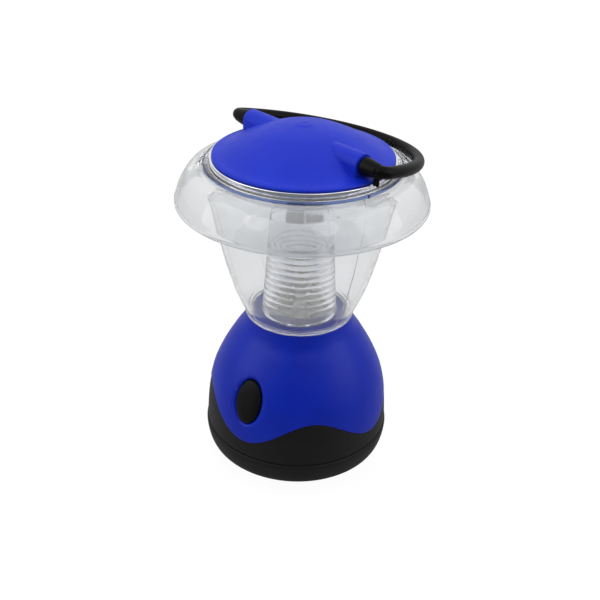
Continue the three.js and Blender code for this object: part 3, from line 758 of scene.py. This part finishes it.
post_corners = [(1.45, 21.8, 0.2), (2.6, 21.8, 0.3), (2.6, 44), (0.2, 44), (0.2, 31.5), (1.45, 31.3)]
post = lathe(rounded(post_corners, 3), TINY_ROUND)
for azimuth in POST_AZIMUTHS:
    inside.append(shifted(post, at(POST_RING, azimuth)))
piece("base_shell", together(shell, *inside), "base", BLUE)


# ---- band below the wave ----
BAND_BOTTOM = 9.6
BAND_TOP = 28.5
BAND_BORE = 31.9
BAND_STEP_IN = 0.3
BAND_ROWS = 26
LAP_IN = 2.25


def band_outline(azimuth):
    edge = wave_height(azimuth) - WAVE_GAP
    outline = [(BAND_BORE, BAND_BOTTOM), (33.5, BAND_BOTTOM), (35.55, BAND_BOTTOM)]
    outline += [(35.8, BAND_BOTTOM + 0.06), (35.95, BAND_BOTTOM + 0.22)]
    low = BAND_BOTTOM + 0.5
    for k in range(BAND_ROWS + 1):
        z = low + (edge - 0.3 - low) * k / BAND_ROWS
        outline.append((min(shell_radius(z) - BAND_STEP_IN, 36.0), z))
    rim = shell_radius(edge) - BAND_STEP_IN
    outline += [(rim - 0.06, edge - 0.08), (rim - 0.3, edge)]
    lap_rows = 8
    for k in range(lap_rows + 1):
        z = edge + (BAND_TOP - edge) * k / lap_rows
        outline.append((shell_radius(z) - LAP_IN, z))
    outline += [(30.4, BAND_TOP), (30.2, BAND_TOP - 0.2), (30.2, 23), (BAND_BORE, 19.5)]
    return outline


def thread(radius, start_z, phase=0.0):
    path = helix(radius, radius, start_z, start_z + THREAD_PITCH * THREAD_TURNS, THREAD_TURNS, phase, 96)
    return swept(path, 0.8, 12, 0.06)


# room inside the band for the button and its guide
room = scaled(lathe([(0, -16), (1, -16), (1, 2), (0, 2)], 64), 10.6, 12.6)
band = cut(lofted(band_outline, evenly(256)), moved(room, button_frame))
piece("base_band", together(band, thread(BAND_BORE - 0.1, 13.2)), "base", BLACK)


# ---- battery cover, seal and contact carrier ----
cover_side = spline([(33.9, 0.12), (34.7, 0.75), (35.5, 2.5), (36.1, 5), (36.4, 7.6), (36.3, 8.7)], 8)
cover_outline = [(0, 0.25), (24, 0.25), (24.4, 0.2), (24.7, 0), (33.3, 0), (33.6, 0.03)]
cover_outline += cover_side
cover_outline += rounded(
    [
        (36.15, 9.1, 0.1),
        (35.8, 9.3, 0.2),
        (34.4, 9.3, 0.15),
        (34.4, 8.2),
        (33, 8.2),
        (33, 9.3, 0.15),
        (30.6, 9.3, 0.1),
        (30.6, 17.2, 0.5),
        (28.8, 17.2, 0.3),
        (28.8, 1.8, 0.4),
        (3.1, 1.8, 0.3),
        (3.1, 3.8, 0.25),
        (1.45, 3.8, 0.1),
        (1.45, 1),
    ],
    4,
)
cover_outline += [(0, 1)]
cover = lathe(evened(cover_outline, 3.0), ROUND)
piece("battery_cover", together(cover, thread(30.7, 11.2)), "cover", BLACK)
SEAL_RADIUS = 33.7
SEAL_Z = 8.9
SEAL_THICKNESS = 0.58
seal_circle = []
for a in np.linspace(0, 2 * math.pi, 16, False):
    seal_circle.append((SEAL_RADIUS + SEAL_THICKNESS * math.cos(a), SEAL_Z + SEAL_THICKNESS * math.sin(a)))
piece("cover_seal", lathe(seal_circle), "cover", SEAL_RUBBER)

PEG_AZIMUTHS = [BUTTON_AZIMUTH + turn for turn in (0, 120, -120)]
PEG_RING = 21
carrier = ring(3.4, 27.5, 2.1, 3.4, 0.3, ROUND)
pegs = [shifted(rod(1.5, 3.2, 14.5, 0.5), at(PEG_RING, azimuth)) for azimuth in PEG_AZIMUTHS]
piece("contact_carrier", together(carrier, *pegs), "carrier", GREY)


def screw(head_radius, head_height, shank_radius, shank_length):
    """A pan-head screw with a cross recess; the head hangs below z = 0 and the shank runs up."""
    outline = rounded(
        [
            (0, -head_height),
            (head_radius * 0.75, -head_height, 0.5),
            (head_radius, -head_height * 0.4, 0.3),
            (head_radius, 0, 0.1),
            (shank_radius, 0),
            (shank_radius, shank_length),
            (0, shank_length + shank_radius),
        ],
        4,
    )
    slots = [
        block(head_radius * 1.1, 0.5, -head_height - 1, -head_height * 0.45),
        block(0.5, head_radius * 1.1, -head_height - 1, -head_height * 0.45),
    ]
    return cut(lathe(outline, 32), *slots)


CARRIER_SCREW_SEAT = 3.9
upside_down = Matrix.Translation((0, 0, CARRIER_SCREW_SEAT)) @ Matrix.Rotation(math.pi, 4, "X")
carrier_screw = moved(screw(3.7, 0.9, 1.3, 1.4), upside_down)
piece("carrier_screw", carrier_screw, "cover", STEEL)

# ---- cells and their contacts ----
CELL_BOTTOM = 5.05
CELL_LENGTH = 50.5
cell_outline = rounded(
    [
        (0, 0),
        (6.2, 0, 0.2),
        (6.4, 0.35, 0.2),
        (7.15, 0.35, 0.5),
        (7.15, 49.3, 0.6),
        (6.1, 49.5, 0.2),
        (5.9, 49.1, 0.1),
        (3.2, 49.1, 0.2),
        (2.75, 49.3),
        (2.75, CELL_LENGTH, 0.3),
        (0, CELL_LENGTH),
    ],
    4,
)
cell = lathe(evened(cell_outline, 3.0), 64)
turned_cell = moved(cell, Matrix.Translation((0, 0, CELL_LENGTH)) @ Matrix.Rotation(math.pi, 4, "X"))
cell_centres = [at(8.75, azimuth) for azimuth in POST_AZIMUTHS]
for i, centre in enumerate(cell_centres):
    skin = turned_cell if i == 1 else cell
    place = centre + Vector((0, 0, CELL_BOTTOM))
    piece(f"battery_cell_{i + 1}", shifted(skin, place), "base", CELL_SLEEVE)

spring_path = helix(4.6, 1.7, 3.75, 4.7, 2.5)
for i, centre in enumerate((cell_centres[0], cell_centres[2])):
    spring = shifted(swept(spring_path, 0.28, 12), centre)
    piece(f"carrier_spring_{i + 1}", spring, "carrier", SPRING_STEEL)
contact = shifted(rod(4.4, 3.45, 5.0, 0.4, 40), cell_centres[1])
piece("carrier_contact", contact, "carrier", BRASS)

# ---- battery cage ----
CAGE_RADIUS = 17
CAGE_BOTTOM = 5.5
CAGE_TOP = 55.3
FLANGE_BOTTOM = 20
FLANGE_TOP = 21.6
cage = rod(CAGE_RADIUS, CAGE_BOTTOM, CAGE_TOP, 0.4, 96)
cage = fused(cage, ring(CAGE_RADIUS - 1, 28.2, FLANGE_BOTTOM, FLANGE_TOP, 0.3, 96))
for azimuth in PEG_AZIMUTHS:
    sleeve = rod(3.4, CAGE_BOTTOM, FLANGE_BOTTOM + 0.5, 0.3, 32)
    cage = fused(cage, shifted(sleeve, at(PEG_RING - 1.2, azimuth)))
for azimuth in PEG_AZIMUTHS:
    cage = cut(cage, shifted(rod(1.7, CAGE_BOTTOM - 1, 16, 0), at(PEG_RING, azimuth)))
for centre in cell_centres:
    cage = cut(cage, shifted(rod(7.5, CAGE_BOTTOM - 1, CAGE_TOP + 1, 0, 64), centre))
for azimuth in POST_AZIMUTHS:
    cage = cut(cage, shifted(rod(1.55, FLANGE_BOTTOM - 1, FLANGE_TOP + 1, 0), at(POST_RING, azimuth)))
for azimuth in (BUTTON_AZIMUTH - 5, BUTTON_AZIMUTH + 5):
    cage = cut(cage, shifted(rod(1, FLANGE_TOP + 4, CAGE_TOP + 1, 0), at(CAGE_RADIUS - 0.2, azimuth)))
piece("battery_cage", cage, "base", CAGE_BLACK)
for i, azimuth in enumerate(POST_AZIMUTHS):
    skin = shifted(screw(2.6, 1.4, 1.3, 9), at(POST_RING, azimuth, FLANGE_BOTTOM - 0.1))
    piece(f"cage_screw_{i + 1}", skin, "base", STEEL)

# ---- push button ----
BUTTON_ROWS = 26
button_outline = [(0, -4.9), (1.1, -4.9), (1.12, -4.8), (1.12, -4.1), (1.1, -4.0), (1.0, -4.0)]
for k in range(6):
    button_outline.append((1.0, -3.6 + k * 0.5))
for k in range(BUTTON_ROWS):
    a = math.pi / 2 * (1 - (k + 1) / BUTTON_ROWS)
    button_outline.append((math.sin(a) ** 0.62, -1.0 + 1.5 * math.cos(a) ** 1.15))
button = scaled(lathe(button_outline, 96), BUTTON_HALF_WIDTH, BUTTON_HALF_LENGTH)
piece("power_button", moved(button, button_frame), "button", BUTTON_RUBBER)

# ---- LEDs and the ribbed tube ----
led_outline = rounded(
    [(0, 58.4), (2.9, 58.4, 0.15), (2.9, 59.4, 0.15), (2.5, 59.4), (2.5, 63.4)],
    3,
)
LED_DOME_STEPS = 8
LED_RING = 7.2
LED_COUNT = 6
for k in range(LED_DOME_STEPS + 1):
    a = math.pi / 2 * k / LED_DOME_STEPS
    led_outline.append((2.5 * math.cos(a), 63.4 + 2.5 * math.sin(a)))
for i in range(LED_COUNT):
    led = shifted(lathe(led_outline, 32), at(LED_RING, i * 360 / LED_COUNT))
    piece(f"led_{i + 1}", led, "base", LED_EPOXY)

LENS_BOTTOM = 58.75
LENS_TOP = 105
LENS_TOP_RADIUS = 11.05
LENS_FOOT_RADIUS = 14.3
RIB_START = 59.4
RIB_PITCH = 2.38
RIB_COUNT = 12
RIB_HEIGHT = 0.55
RIB_ROWS = 12
PLAIN_START = 88.6  # above the last rib


def lens_radius(z):
    share = (z - LENS_BOTTOM) / (LENS_TOP - LENS_BOTTOM)
    return LENS_FOOT_RADIUS + (LENS_TOP_RADIUS - LENS_FOOT_RADIUS) * share


lens_outline = [(12.7, LENS_BOTTOM), (14.3, LENS_BOTTOM), (14.5, LENS_BOTTOM + 0.2)]
lens_outline += [(14.4, LENS_BOTTOM + 0.4)]
for k in range(RIB_COUNT * RIB_ROWS + 1):
    z = RIB_START + k * RIB_PITCH / RIB_ROWS
    across = 2 * (k % RIB_ROWS) / RIB_ROWS - 1
    bulge = math.sqrt(max(0.0, 1 - across * across))
    lens_outline.append((lens_radius(z) - RIB_HEIGHT * (1 - bulge), z))
lens_outline += [(lens_radius(z), z) for z in np.linspace(PLAIN_START, LENS_TOP - 0.3, 8)]
lens_outline += [(LENS_TOP_RADIUS - 0.1, LENS_TOP), (9.75, LENS_TOP), (9.6, LENS_TOP - 0.2)]
lens_outline += [(lens_radius(z) - 1.5, z) for z in np.linspace(LENS_TOP - 1, LENS_BOTTOM + 0.4, 20)]
piece("ribbed_lens", lathe(lens_outline, 160), "base", LENS_CLEAR, 60)

# ---- clear globe ----
GLOBE_WALL = 1.6
PARTING_AZIMUTH = 39.5
PARTING_AZIMUTHS = (PARTING_AZIMUTH, PARTING_AZIMUTH + 180)
PARTING_WIDTH = 0.3
PARTING_HEIGHT = 0.1
PARTING_RING = 28
NIB_AZIMUTHS = (-14, 38, 166, 218)
NIB_HEIGHT = 0.35
NIB_HALF_WIDTH = 0.45
FINE_STEP = 0.2  # degrees between the outlines beside a parting line or nib
globe_knots = [
    (20.75, 58.3),
    (21.2, 60.2),
    (23.2, 65),
    (25.2, 70),
    (28, 80),
    (30.3, 90),
    (32.4, 104),
    (33.15, 116),
]
globe_side = spline(globe_knots, 8)
globe_inside = [(r - GLOBE_WALL, z) for r, z in spline(globe_knots[1:], 8)]


def arc_between(azimuth, line, radius):
    """The distance in millimetres along a circle from one azimuth to another."""
    return math.radians((azimuth - line + 180) % 360 - 180) * radius


def globe_outline(azimuth):
    ridge = 0.0
    for line in PARTING_AZIMUTHS:
        away = 2 * arc_between(azimuth, line, PARTING_RING) / PARTING_WIDTH
        ridge += PARTING_HEIGHT * math.exp(-(away ** 2))
    nib = 0.0
    for line in NIB_AZIMUTHS:
        away = arc_between(azimuth, line, GLOBE_FLANGE_RADIUS) / NIB_HALF_WIDTH
        nib += NIB_HEIGHT * math.exp(-(away ** 4))
    outline = [(18.1, 57.75), (20.3, 57.75), (20.55, 57.85)]
    outline += [(r + ridge, z) for r, z in globe_side]
    edge = GLOBE_FLANGE_RADIUS + nib
    outline += [(33.35, 116.6), (33.7, 116.9), (edge - 0.4, 116.9), (edge - 0.1, 117.0), (edge, 117.2)]
    outline += [(edge, 117.85), (edge - 0.1, 118.03), (edge - 0.35, 118.1), (31.9, 118.1), (31.65, 117.9)]
    outline += list(reversed(globe_inside))
    outline += [(18.9, 59.2), (18.2, 58.8), (18, 58.7), (18, 57.85)]
    return outline


globe_azimuths = set(evenly(ROUND))
for line in (*PARTING_AZIMUTHS, *NIB_AZIMUTHS):
    for k in range(-8, 9):
        globe_azimuths.add((line + k * FINE_STEP) % 360)
piece("clear_globe", lofted(globe_outline, sorted(globe_azimuths)), "base", GLOBE_CLEAR, 60)

# ---- clear shade ----
shade_knots = [(36.2, 116.6), (38.6, 116.2), (41, 114.6), (43.9, 110), (45.5, 105.6), (45.75, 104.6)]
shade_out = spline(shade_knots, 10)
shade_in = spline([(43.9, 104.4), (43.7, 105.6), (42.2, 109.2), (39.4, 113), (36.4, 114.7)], 10)
shade_outline = [(33.6, 114.85), (33.75, 114.7)]
shade_outline += list(reversed(shade_in))
shade_outline += [(43.95, 103.9), (44.2, 103.55), (44.6, 103.4)]
shade_outline += [(45.1, 103.4), (45.5, 103.6), (45.75, 104.0)]
shade_outline += list(reversed(shade_out))
shade_outline += [(33.85, 116.6), (33.6, 116.4)]
piece("clear_shade", lathe(shade_outline, ROUND), "base", SHADE_CLEAR, 60)

# ---- reflector ----
reflector_outline = rounded(
    [
        (0, 104),
        (2, 104.5, 1),
        (8, 110.6, 2),
        (14.5, 118.3, 0.6),
        (33.2, 118.3, 0.25),
        (33.2, 120, 0.25),
        (32.2, 120, 0.2),
        (32.2, 119.3),
        (13.9, 119.3, 0.5),
        (7.4, 111.5, 2),
        (1.8, 105.7, 1),
        (0, 105.4),
    ],
    5,
)
CAP_SCREW_RING = 24
CAP_SCREW_AZIMUTHS = [PIVOT_AZIMUTH + 90 + turn for turn in (0, 120, 240)]
reflector = lathe(evened(reflector_outline, 2.0), ROUND)
for azimuth in CAP_SCREW_AZIMUTHS:
    reflector = cut(reflector, shifted(rod(1.4, 117.5, 120.5, 0), at(CAP_SCREW_RING, azimuth)))
SOCKET_FACETS = 12
SOCKET_TURN = 5
SOCKET_BOTTOM = 101.6
SOCKET_STEP = 106.5
SOCKET_TOP = 118.6
SOCKET_WALL = 0.8
SOCKET_RADIUS = 13.0
STAVE_GAP = 1.8  # degrees between two staves
STAVE_FOOT_RADII = (12.3, 12.95)  # of every other stave


def stave(start, end, lower_radius):
    """One flat side of the socket; lower_radius tapers the part below the step."""
    verts = []
    levels = ((SOCKET_BOTTOM, lower_radius), (SOCKET_STEP, SOCKET_RADIUS), (SOCKET_TOP, SOCKET_RADIUS))
    for z, radius in levels:
        inner = radius - SOCKET_WALL
        for r, azimuth in ((inner, start), (radius, start), (radius, end), (inner, end)):
            verts.append(tuple(at(r, azimuth, z)))
    faces = [(3, 2, 1, 0), (8, 9, 10, 11)]
    for level in (0, 4):
        for k in range(4):
            following = (k + 1) % 4
            faces.append((level + k, level + following, level + 4 + following, level + 4 + k))
    return facing_out(verts, faces)


staves = []
for k in range(SOCKET_FACETS):
    start = SOCKET_TURN + k * 360 / SOCKET_FACETS + STAVE_GAP / 2
    staves.append(stave(start, start + 360 / SOCKET_FACETS - STAVE_GAP, STAVE_FOOT_RADII[k % 2]))
reflector = together(reflector, *staves)
piece("reflector", reflector, "base", CHROME, 25)

# ---- cap ----
CAP_RIM_Z = 120.4
CAP_SEAT_Z = 120.05
CAP_WALL = 1.8
CAP_APEX_Z = 131.8
CROWN_RADIUS = 2.6  # inside this the crown is a shallow bowl round the gate mark
cap_knots = [(32.25, 120.75), (31.4, 121.15), (28.4, 122.1), (21, 126.1), (11, 130.2), (0, CAP_APEX_Z)]
cap_curve = spline(cap_knots, 14)


def gate_mark(r):
    """The small dimple with a raised point that the moulding gate leaves on the crown."""
    return -0.2 * math.exp(-((r / 0.9) ** 2)) + 0.14 * math.exp(-((r / 0.35) ** 2))


cap_top = [(r, z + gate_mark(r)) for r, z in cap_curve if r > CROWN_RADIUS]
for r in (2.4, 2.0, 1.6, 1.3, 1.0, 0.75, 0.5, 0.3, 0.15, 0):
    cap_top.append((r, CAP_APEX_Z - 0.008 * r * r + gate_mark(r)))
cap_under = []
for r, z in cap_curve:
    if z - CAP_WALL * 0.9 > CAP_RIM_Z + 0.1:
        cap_under.append((max(r - 0.9, 0), z - CAP_WALL * 0.9))
cap_outline = [(0, CAP_APEX_Z - CAP_WALL)]
cap_outline += [p for p in reversed(cap_under) if p[0] > 1]
cap_outline += [(30.4, CAP_SEAT_Z), (32.15, CAP_SEAT_Z), (32.3, CAP_SEAT_Z + 0.12)]
cap_outline += cap_top
cap = lathe(evened(cap_outline, 1.6), ROUND)


CHEEK_ARC_STEPS = 32


def cheek(side):
    """A round-topped rib along the pivot axis, its outer end softly rounded."""
    section = [(-CHEEK_RADIUS, CAP_RIM_Z - PIVOT_Z + 0.05)]
    for k in range(CHEEK_ARC_STEPS + 1):
        a = math.pi - math.pi * k / CHEEK_ARC_STEPS
        section.append((CHEEK_RADIUS * math.cos(a), CHEEK_RADIUS * math.sin(a)))
    section.append((CHEEK_RADIUS, CAP_RIM_Z - PIVOT_Z + 0.05))
    stations = [(CHEEK_START, 1.0), (16, 1.0), (22, 1.0), (CHEEK_END - 0.7, 1.0)]
    stations += [(CHEEK_END - 0.3, 0.985), (CHEEK_END - 0.1, 0.96), (CHEEK_END, 0.92)]
    verts = []
    for x, size in stations:
        for y, z in section:
            verts.append((x * side, y * size, z * size if z > 0 else z))
    faces = []
    width = len(section)
    for i in range(len(stations) - 1):
        for k in range(width):
            following = (k + 1) % width
            here = i * width
            there = here + width
            faces.append((here + k, here + following, there + following, there + k))
    faces.append(tuple(range(width)))
    faces.append(tuple((len(stations) - 1) * width + k for k in reversed(range(width))))
    return moved(facing_out(verts, faces), pivot_frame)


cap = fused(cap, cheek(-1), cheek(1))
PIVOT_BORE = 2.15
PIVOT_BORE_END = CHEEK_END - 8
bore_outline = [(0, PIVOT_BORE_END), (PIVOT_BORE, PIVOT_BORE_END), (PIVOT_BORE, CHEEK_END - 0.3)]
bore_outline += [(PIVOT_BORE + 0.25, CHEEK_END + 1), (0, CHEEK_END + 1)]
for side in (-1, 1):
    cap = cut(cap, on_pivot(bore_outline, side))
bosses = []
for azimuth in CAP_SCREW_AZIMUTHS:
    bosses.append(shifted(ring(1.15, 2.5, 119.4, 122.4, 0.2, 32), at(CAP_SCREW_RING, azimuth)))
piece("top_cap", together(cap, *bosses), "base", BLUE_CAP)

# ---- bail handle ----
HANDLE_HALF_WIDTH = 37.2
HANDLE_REACH = 45
HANDLE_TUBE = 2.2
HANDLE_DROOP = 13
BARREL_START = CHEEK_END + 0.4
ELBOW_X = 34.4
ELBOW_Y = 3.6
BARREL_SHOULDER = 32.5
PRONG_X = 34.55
PRONG_SPACING = 0.65
PRONG_REACH = 5.4
PIVOT_PIN = 2.05
LOOP_STEPS = 96


def bezier(a, b, c, steps):
    points = []
    for k in range(steps):
        t = k / steps
        points.append(tuple(a[n] * (1 - t) ** 2 + 2 * b[n] * t * (1 - t) + c[n] * t * t for n in range(3)))
    return points


start_angle = math.asin(ELBOW_Y / HANDLE_REACH)
loop = []
for k in range(LOOP_STEPS + 1):
    a = start_angle + (math.pi - 2 * start_angle) * k / LOOP_STEPS
    loop.append((HANDLE_HALF_WIDTH * math.cos(a), HANDLE_REACH * math.sin(a), 0.0))
right_end = loop[0]
left_end = loop[-1]
path = bezier((ELBOW_X, 0, 0), (right_end[0] + 0.2, 0, 0), right_end, 14)
path += loop
path += list(reversed(bezier((-ELBOW_X, 0, 0), (left_end[0] - 0.2, 0, 0), left_end, 14)))
drooped = pivot_frame @ Matrix.Rotation(-math.radians(HANDLE_DROOP), 4, "X")
handle = moved(swept(path, HANDLE_TUBE, 28), drooped)
barrel_outline = rounded(
    [
        (0, CHEEK_END - 7),
        (1.6, CHEEK_END - 7, 0.2),
        (PIVOT_PIN, CHEEK_END - 6.5, 0.1),
        (PIVOT_PIN, BARREL_START),
        (3.1, BARREL_START, 0.25),
        (3.1, BARREL_START + 1.5, 0.8),
        (2.85, BARREL_SHOULDER, 0.8),
        (2.4, ELBOW_X + 1, 0.5),
        (0, ELBOW_X + 1.6),
    ],
    4,
)
for side in (-1, 1):
    handle = fused(handle, on_pivot(evened(barrel_outline, 1.5), side, 40))
for offset in (-PRONG_SPACING, PRONG_SPACING):
    prong = block(0.7, 0.9, -PRONG_REACH, -2, PRONG_X + offset)
    handle = fused(handle, moved(prong, pivot_frame))
piece("bail_handle", handle, "handle", HANDLE_BLACK)

# ---- CAD pieces shown as they are ----
kept = {
    "switch_plunger": GREY,
    "switch_body": GREY,
    "switch_board": SOLDER_MASK_GREEN,
    "resistor": RESISTOR_BLUE,
    "contact_board": SOLDER_MASK_GREEN,
    "top_contact_1": BRASS,
    "top_contact_2": BRASS,
    "top_spring": SPRING_STEEL,
    "wire_red": SLEEVE_RED,
    "wire_black": SLEEVE_BLACK,
    "led_board": SOLDER_MASK_WHITE,
    "cap_screw_1": STEEL,
    "cap_screw_2": STEEL,
    "cap_screw_3": STEEL,
}
for node, material in kept.items():
    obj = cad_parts[node]
    obj.data.materials.clear()
    obj.data.materials.append(material)

# ---- floor, light and camera ----
FLOOR_HALF = 2.5
floor_corners = [(x * FLOOR_HALF, y * FLOOR_HALF, 0) for x, y in ((-1, -1), (1, -1), (1, 1), (-1, 1))]
floor = as_object((floor_corners, [(0, 1, 2, 3)]), "floor")
floor.location.z = -(COVER_TRAVEL + 0.2) * MM  # leaves the cover room to drop
# The floor's own glow as the camera sees it, as it is seen through clear parts, and for other rays; and the
# share of light it reflects to the camera and to other rays.
FLOOR_SEEN = 0.96
FLOOR_THROUGH = 0.6
FLOOR_GLOW = 0.2
FLOOR_SHADE = 0.07
FLOOR_BOUNCE = 0.27
# Reflections show a dark card on the floor in front of the lantern, from NEAR on and full from FAR on.
CARD_EDGE_NEAR = -0.08
CARD_EDGE_FAR = -0.14
CARD_TINT = 0.02
CARD_GLOW = 0.15
n = Nodes("floor_paper")
tone = n.mix(n.noise(40, 2), colour(0.98, 0.98, 0.98), colour(1, 1, 1))


def paper(tint, glow):
    """Matt paper that reflects tint and adds an even glow of its own."""
    inputs = {
        "Base Color": n.mix(1.0, tone, colour(tint, tint, tint), "MULTIPLY"),
        "Roughness": 1.0,
        "Specular IOR Level": 0.0,
        "Emission Color": tone,
        "Emission Strength": glow,
    }
    return n.add("ShaderNodeBsdfPrincipled", inputs).outputs[0]


rays = n.add("ShaderNodeLightPath").outputs
glow = n.range(rays["Is Transmission Ray"], 0, 1, FLOOR_GLOW, FLOOR_THROUGH)
by_ray = {0: rays["Is Camera Ray"], 1: paper(FLOOR_BOUNCE, glow), 2: paper(FLOOR_SHADE, FLOOR_SEEN)}
plain = n.add("ShaderNodeMixShader", by_ray)
place = n.add("ShaderNodeSeparateXYZ", {0: n.coordinates}).outputs
card = n.math("MULTIPLY", n.range(place["Y"], CARD_EDGE_NEAR, CARD_EDGE_FAR), rays["Is Glossy Ray"])
shader = n.add("ShaderNodeMixShader", {0: card, 1: plain.outputs[0], 2: paper(CARD_TINT, CARD_GLOW)})
n.tree.links.new(shader.outputs[0], n.output.inputs["Surface"])
floor.data.materials.append(n.material)

# The sky lights surfaces from above and behind. Reflections see it more even, with the dark room ahead of
# the lantern, and what lies inside the clear parts is lit more strongly from above.
SKY_LOW = 0.3
SKY_HIGH = 1.55
FRONT_SHARE = 0.3
FRONT_RANGE = (-0.9, 0.3)
EVEN_LOW = 0.62
EVEN_HIGH = 1.15
THROUGH_LOW = 0.85
THROUGH_HIGH = 3.2
AHEAD_SHARE = 0.15
AHEAD_RANGE = (-0.86, -0.68)
world = bpy.data.worlds.new("studio")
bpy.context.scene.world = world
world.use_nodes = True
nodes = world.node_tree.nodes
links = world.node_tree.links
nodes.clear()


def ranged(value, low, high, to_low, to_high):
    node = nodes.new("ShaderNodeMapRange")
    links.new(value, node.inputs["Value"])
    for key, number in (("From Min", low), ("From Max", high), ("To Min", to_low), ("To Max", to_high)):
        node.inputs[key].default_value = number
    return node.outputs["Result"]


split = nodes.new("ShaderNodeSeparateXYZ")
links.new(nodes.new("ShaderNodeTexCoord").outputs["Generated"], split.inputs[0])
lighting = nodes.new("ShaderNodeMath")
lighting.operation = "MULTIPLY"
links.new(ranged(split.outputs["Z"], 0, 1, SKY_LOW, SKY_HIGH), lighting.inputs[0])
links.new(ranged(split.outputs["Y"], *FRONT_RANGE, FRONT_SHARE, 1), lighting.inputs[1])
ray_kind = nodes.new("ShaderNodeLightPath").outputs


def blended(share, a, b):
    """a where share is 0 and b where it is 1."""
    node = nodes.new("ShaderNodeMix")
    links.new(share, node.inputs[0])
    links.new(a, node.inputs[2])
    links.new(b, node.inputs[3])
    return node.outputs[0]


even = ranged(split.outputs["Z"], 0, 1, EVEN_LOW, EVEN_HIGH)
through = ranged(split.outputs["Z"], 0, 1, THROUGH_LOW, THROUGH_HIGH)
mirrored = nodes.new("ShaderNodeMath")
mirrored.operation = "MULTIPLY"
links.new(even, mirrored.inputs[0])
links.new(ranged(split.outputs["Y"], *AHEAD_RANGE, AHEAD_SHARE, 1), mirrored.inputs[1])
seen = blended(ray_kind["Is Glossy Ray"], even, mirrored.outputs[0])
seen = blended(ray_kind["Is Transmission Ray"], seen, through)
strength = blended(ray_kind["Is Diffuse Ray"], seen, lighting.outputs[0])
background = nodes.new("ShaderNodeBackground")
background.inputs["Color"].default_value = colour(1, 1, 1)
links.new(strength, background.inputs["Strength"])
world_output = nodes.new("ShaderNodeOutputWorld")
links.new(background.outputs[0], world_output.inputs["Surface"])


def softbox(name, location, target, width, length, power, shape="RECTANGLE"):
    light = bpy.data.lights.new(name, "AREA")
    light.shape = shape
    light.size = width
    light.size_y = length
    light.energy = power
    obj = bpy.data.objects.new(name, light)
    obj.location = location
    obj.rotation_euler = (Vector(target) - Vector(location)).to_track_quat("-Z", "Y").to_euler()
    obj.visible_transmission = False
    bpy.context.scene.collection.objects.link(obj)


MIDDLE = (0, 0, 0.06)
softbox("softbox_left", (-0.75, -0.2, 0.45), MIDDLE, 0.6, 0.8, 2.2)
softbox("softbox_right", (0.75, -0.2, 0.45), MIDDLE, 0.6, 0.8, 2.2)
softbox("sheen_left", (-0.48, -0.5, 0.58), MIDDLE, 0.3, 0.3, 0.45, "ELLIPSE")
softbox("sheen_right", (0.26, -0.6, 0.58), MIDDLE, 0.3, 0.3, 0.4, "ELLIPSE")

camera_data = bpy.data.cameras.new("camera")
camera_data.lens = 54.84
camera_data.sensor_width = 36
camera = bpy.data.objects.new("camera", camera_data)
bpy.context.scene.collection.objects.link(camera)
CAMERA_PLACE = Vector((0.225, -301.4, 239.1)) * MM
CAMERA_TARGET = Vector((0.225, 0, 61.2)) * MM
CAMERA_ROLL = math.radians(1.72)
aim = (CAMERA_TARGET - CAMERA_PLACE).to_track_quat("-Z", "Y").to_matrix().to_4x4()
camera.matrix_world = Matrix.Translation(CAMERA_PLACE) @ aim @ Matrix.Rotation(CAMERA_ROLL, 4, "Z")
bpy.context.scene.camera = camera

scene = bpy.context.scene
scene.view_settings.view_transform = "Standard"
scene.cycles.use_denoising = True
scene.cycles.max_bounces = 24
scene.cycles.transmission_bounces = 20
scene.cycles.glossy_bounces = 8
scene.cycles.diffuse_bounces = 4

bpy.context.view_layer.update()
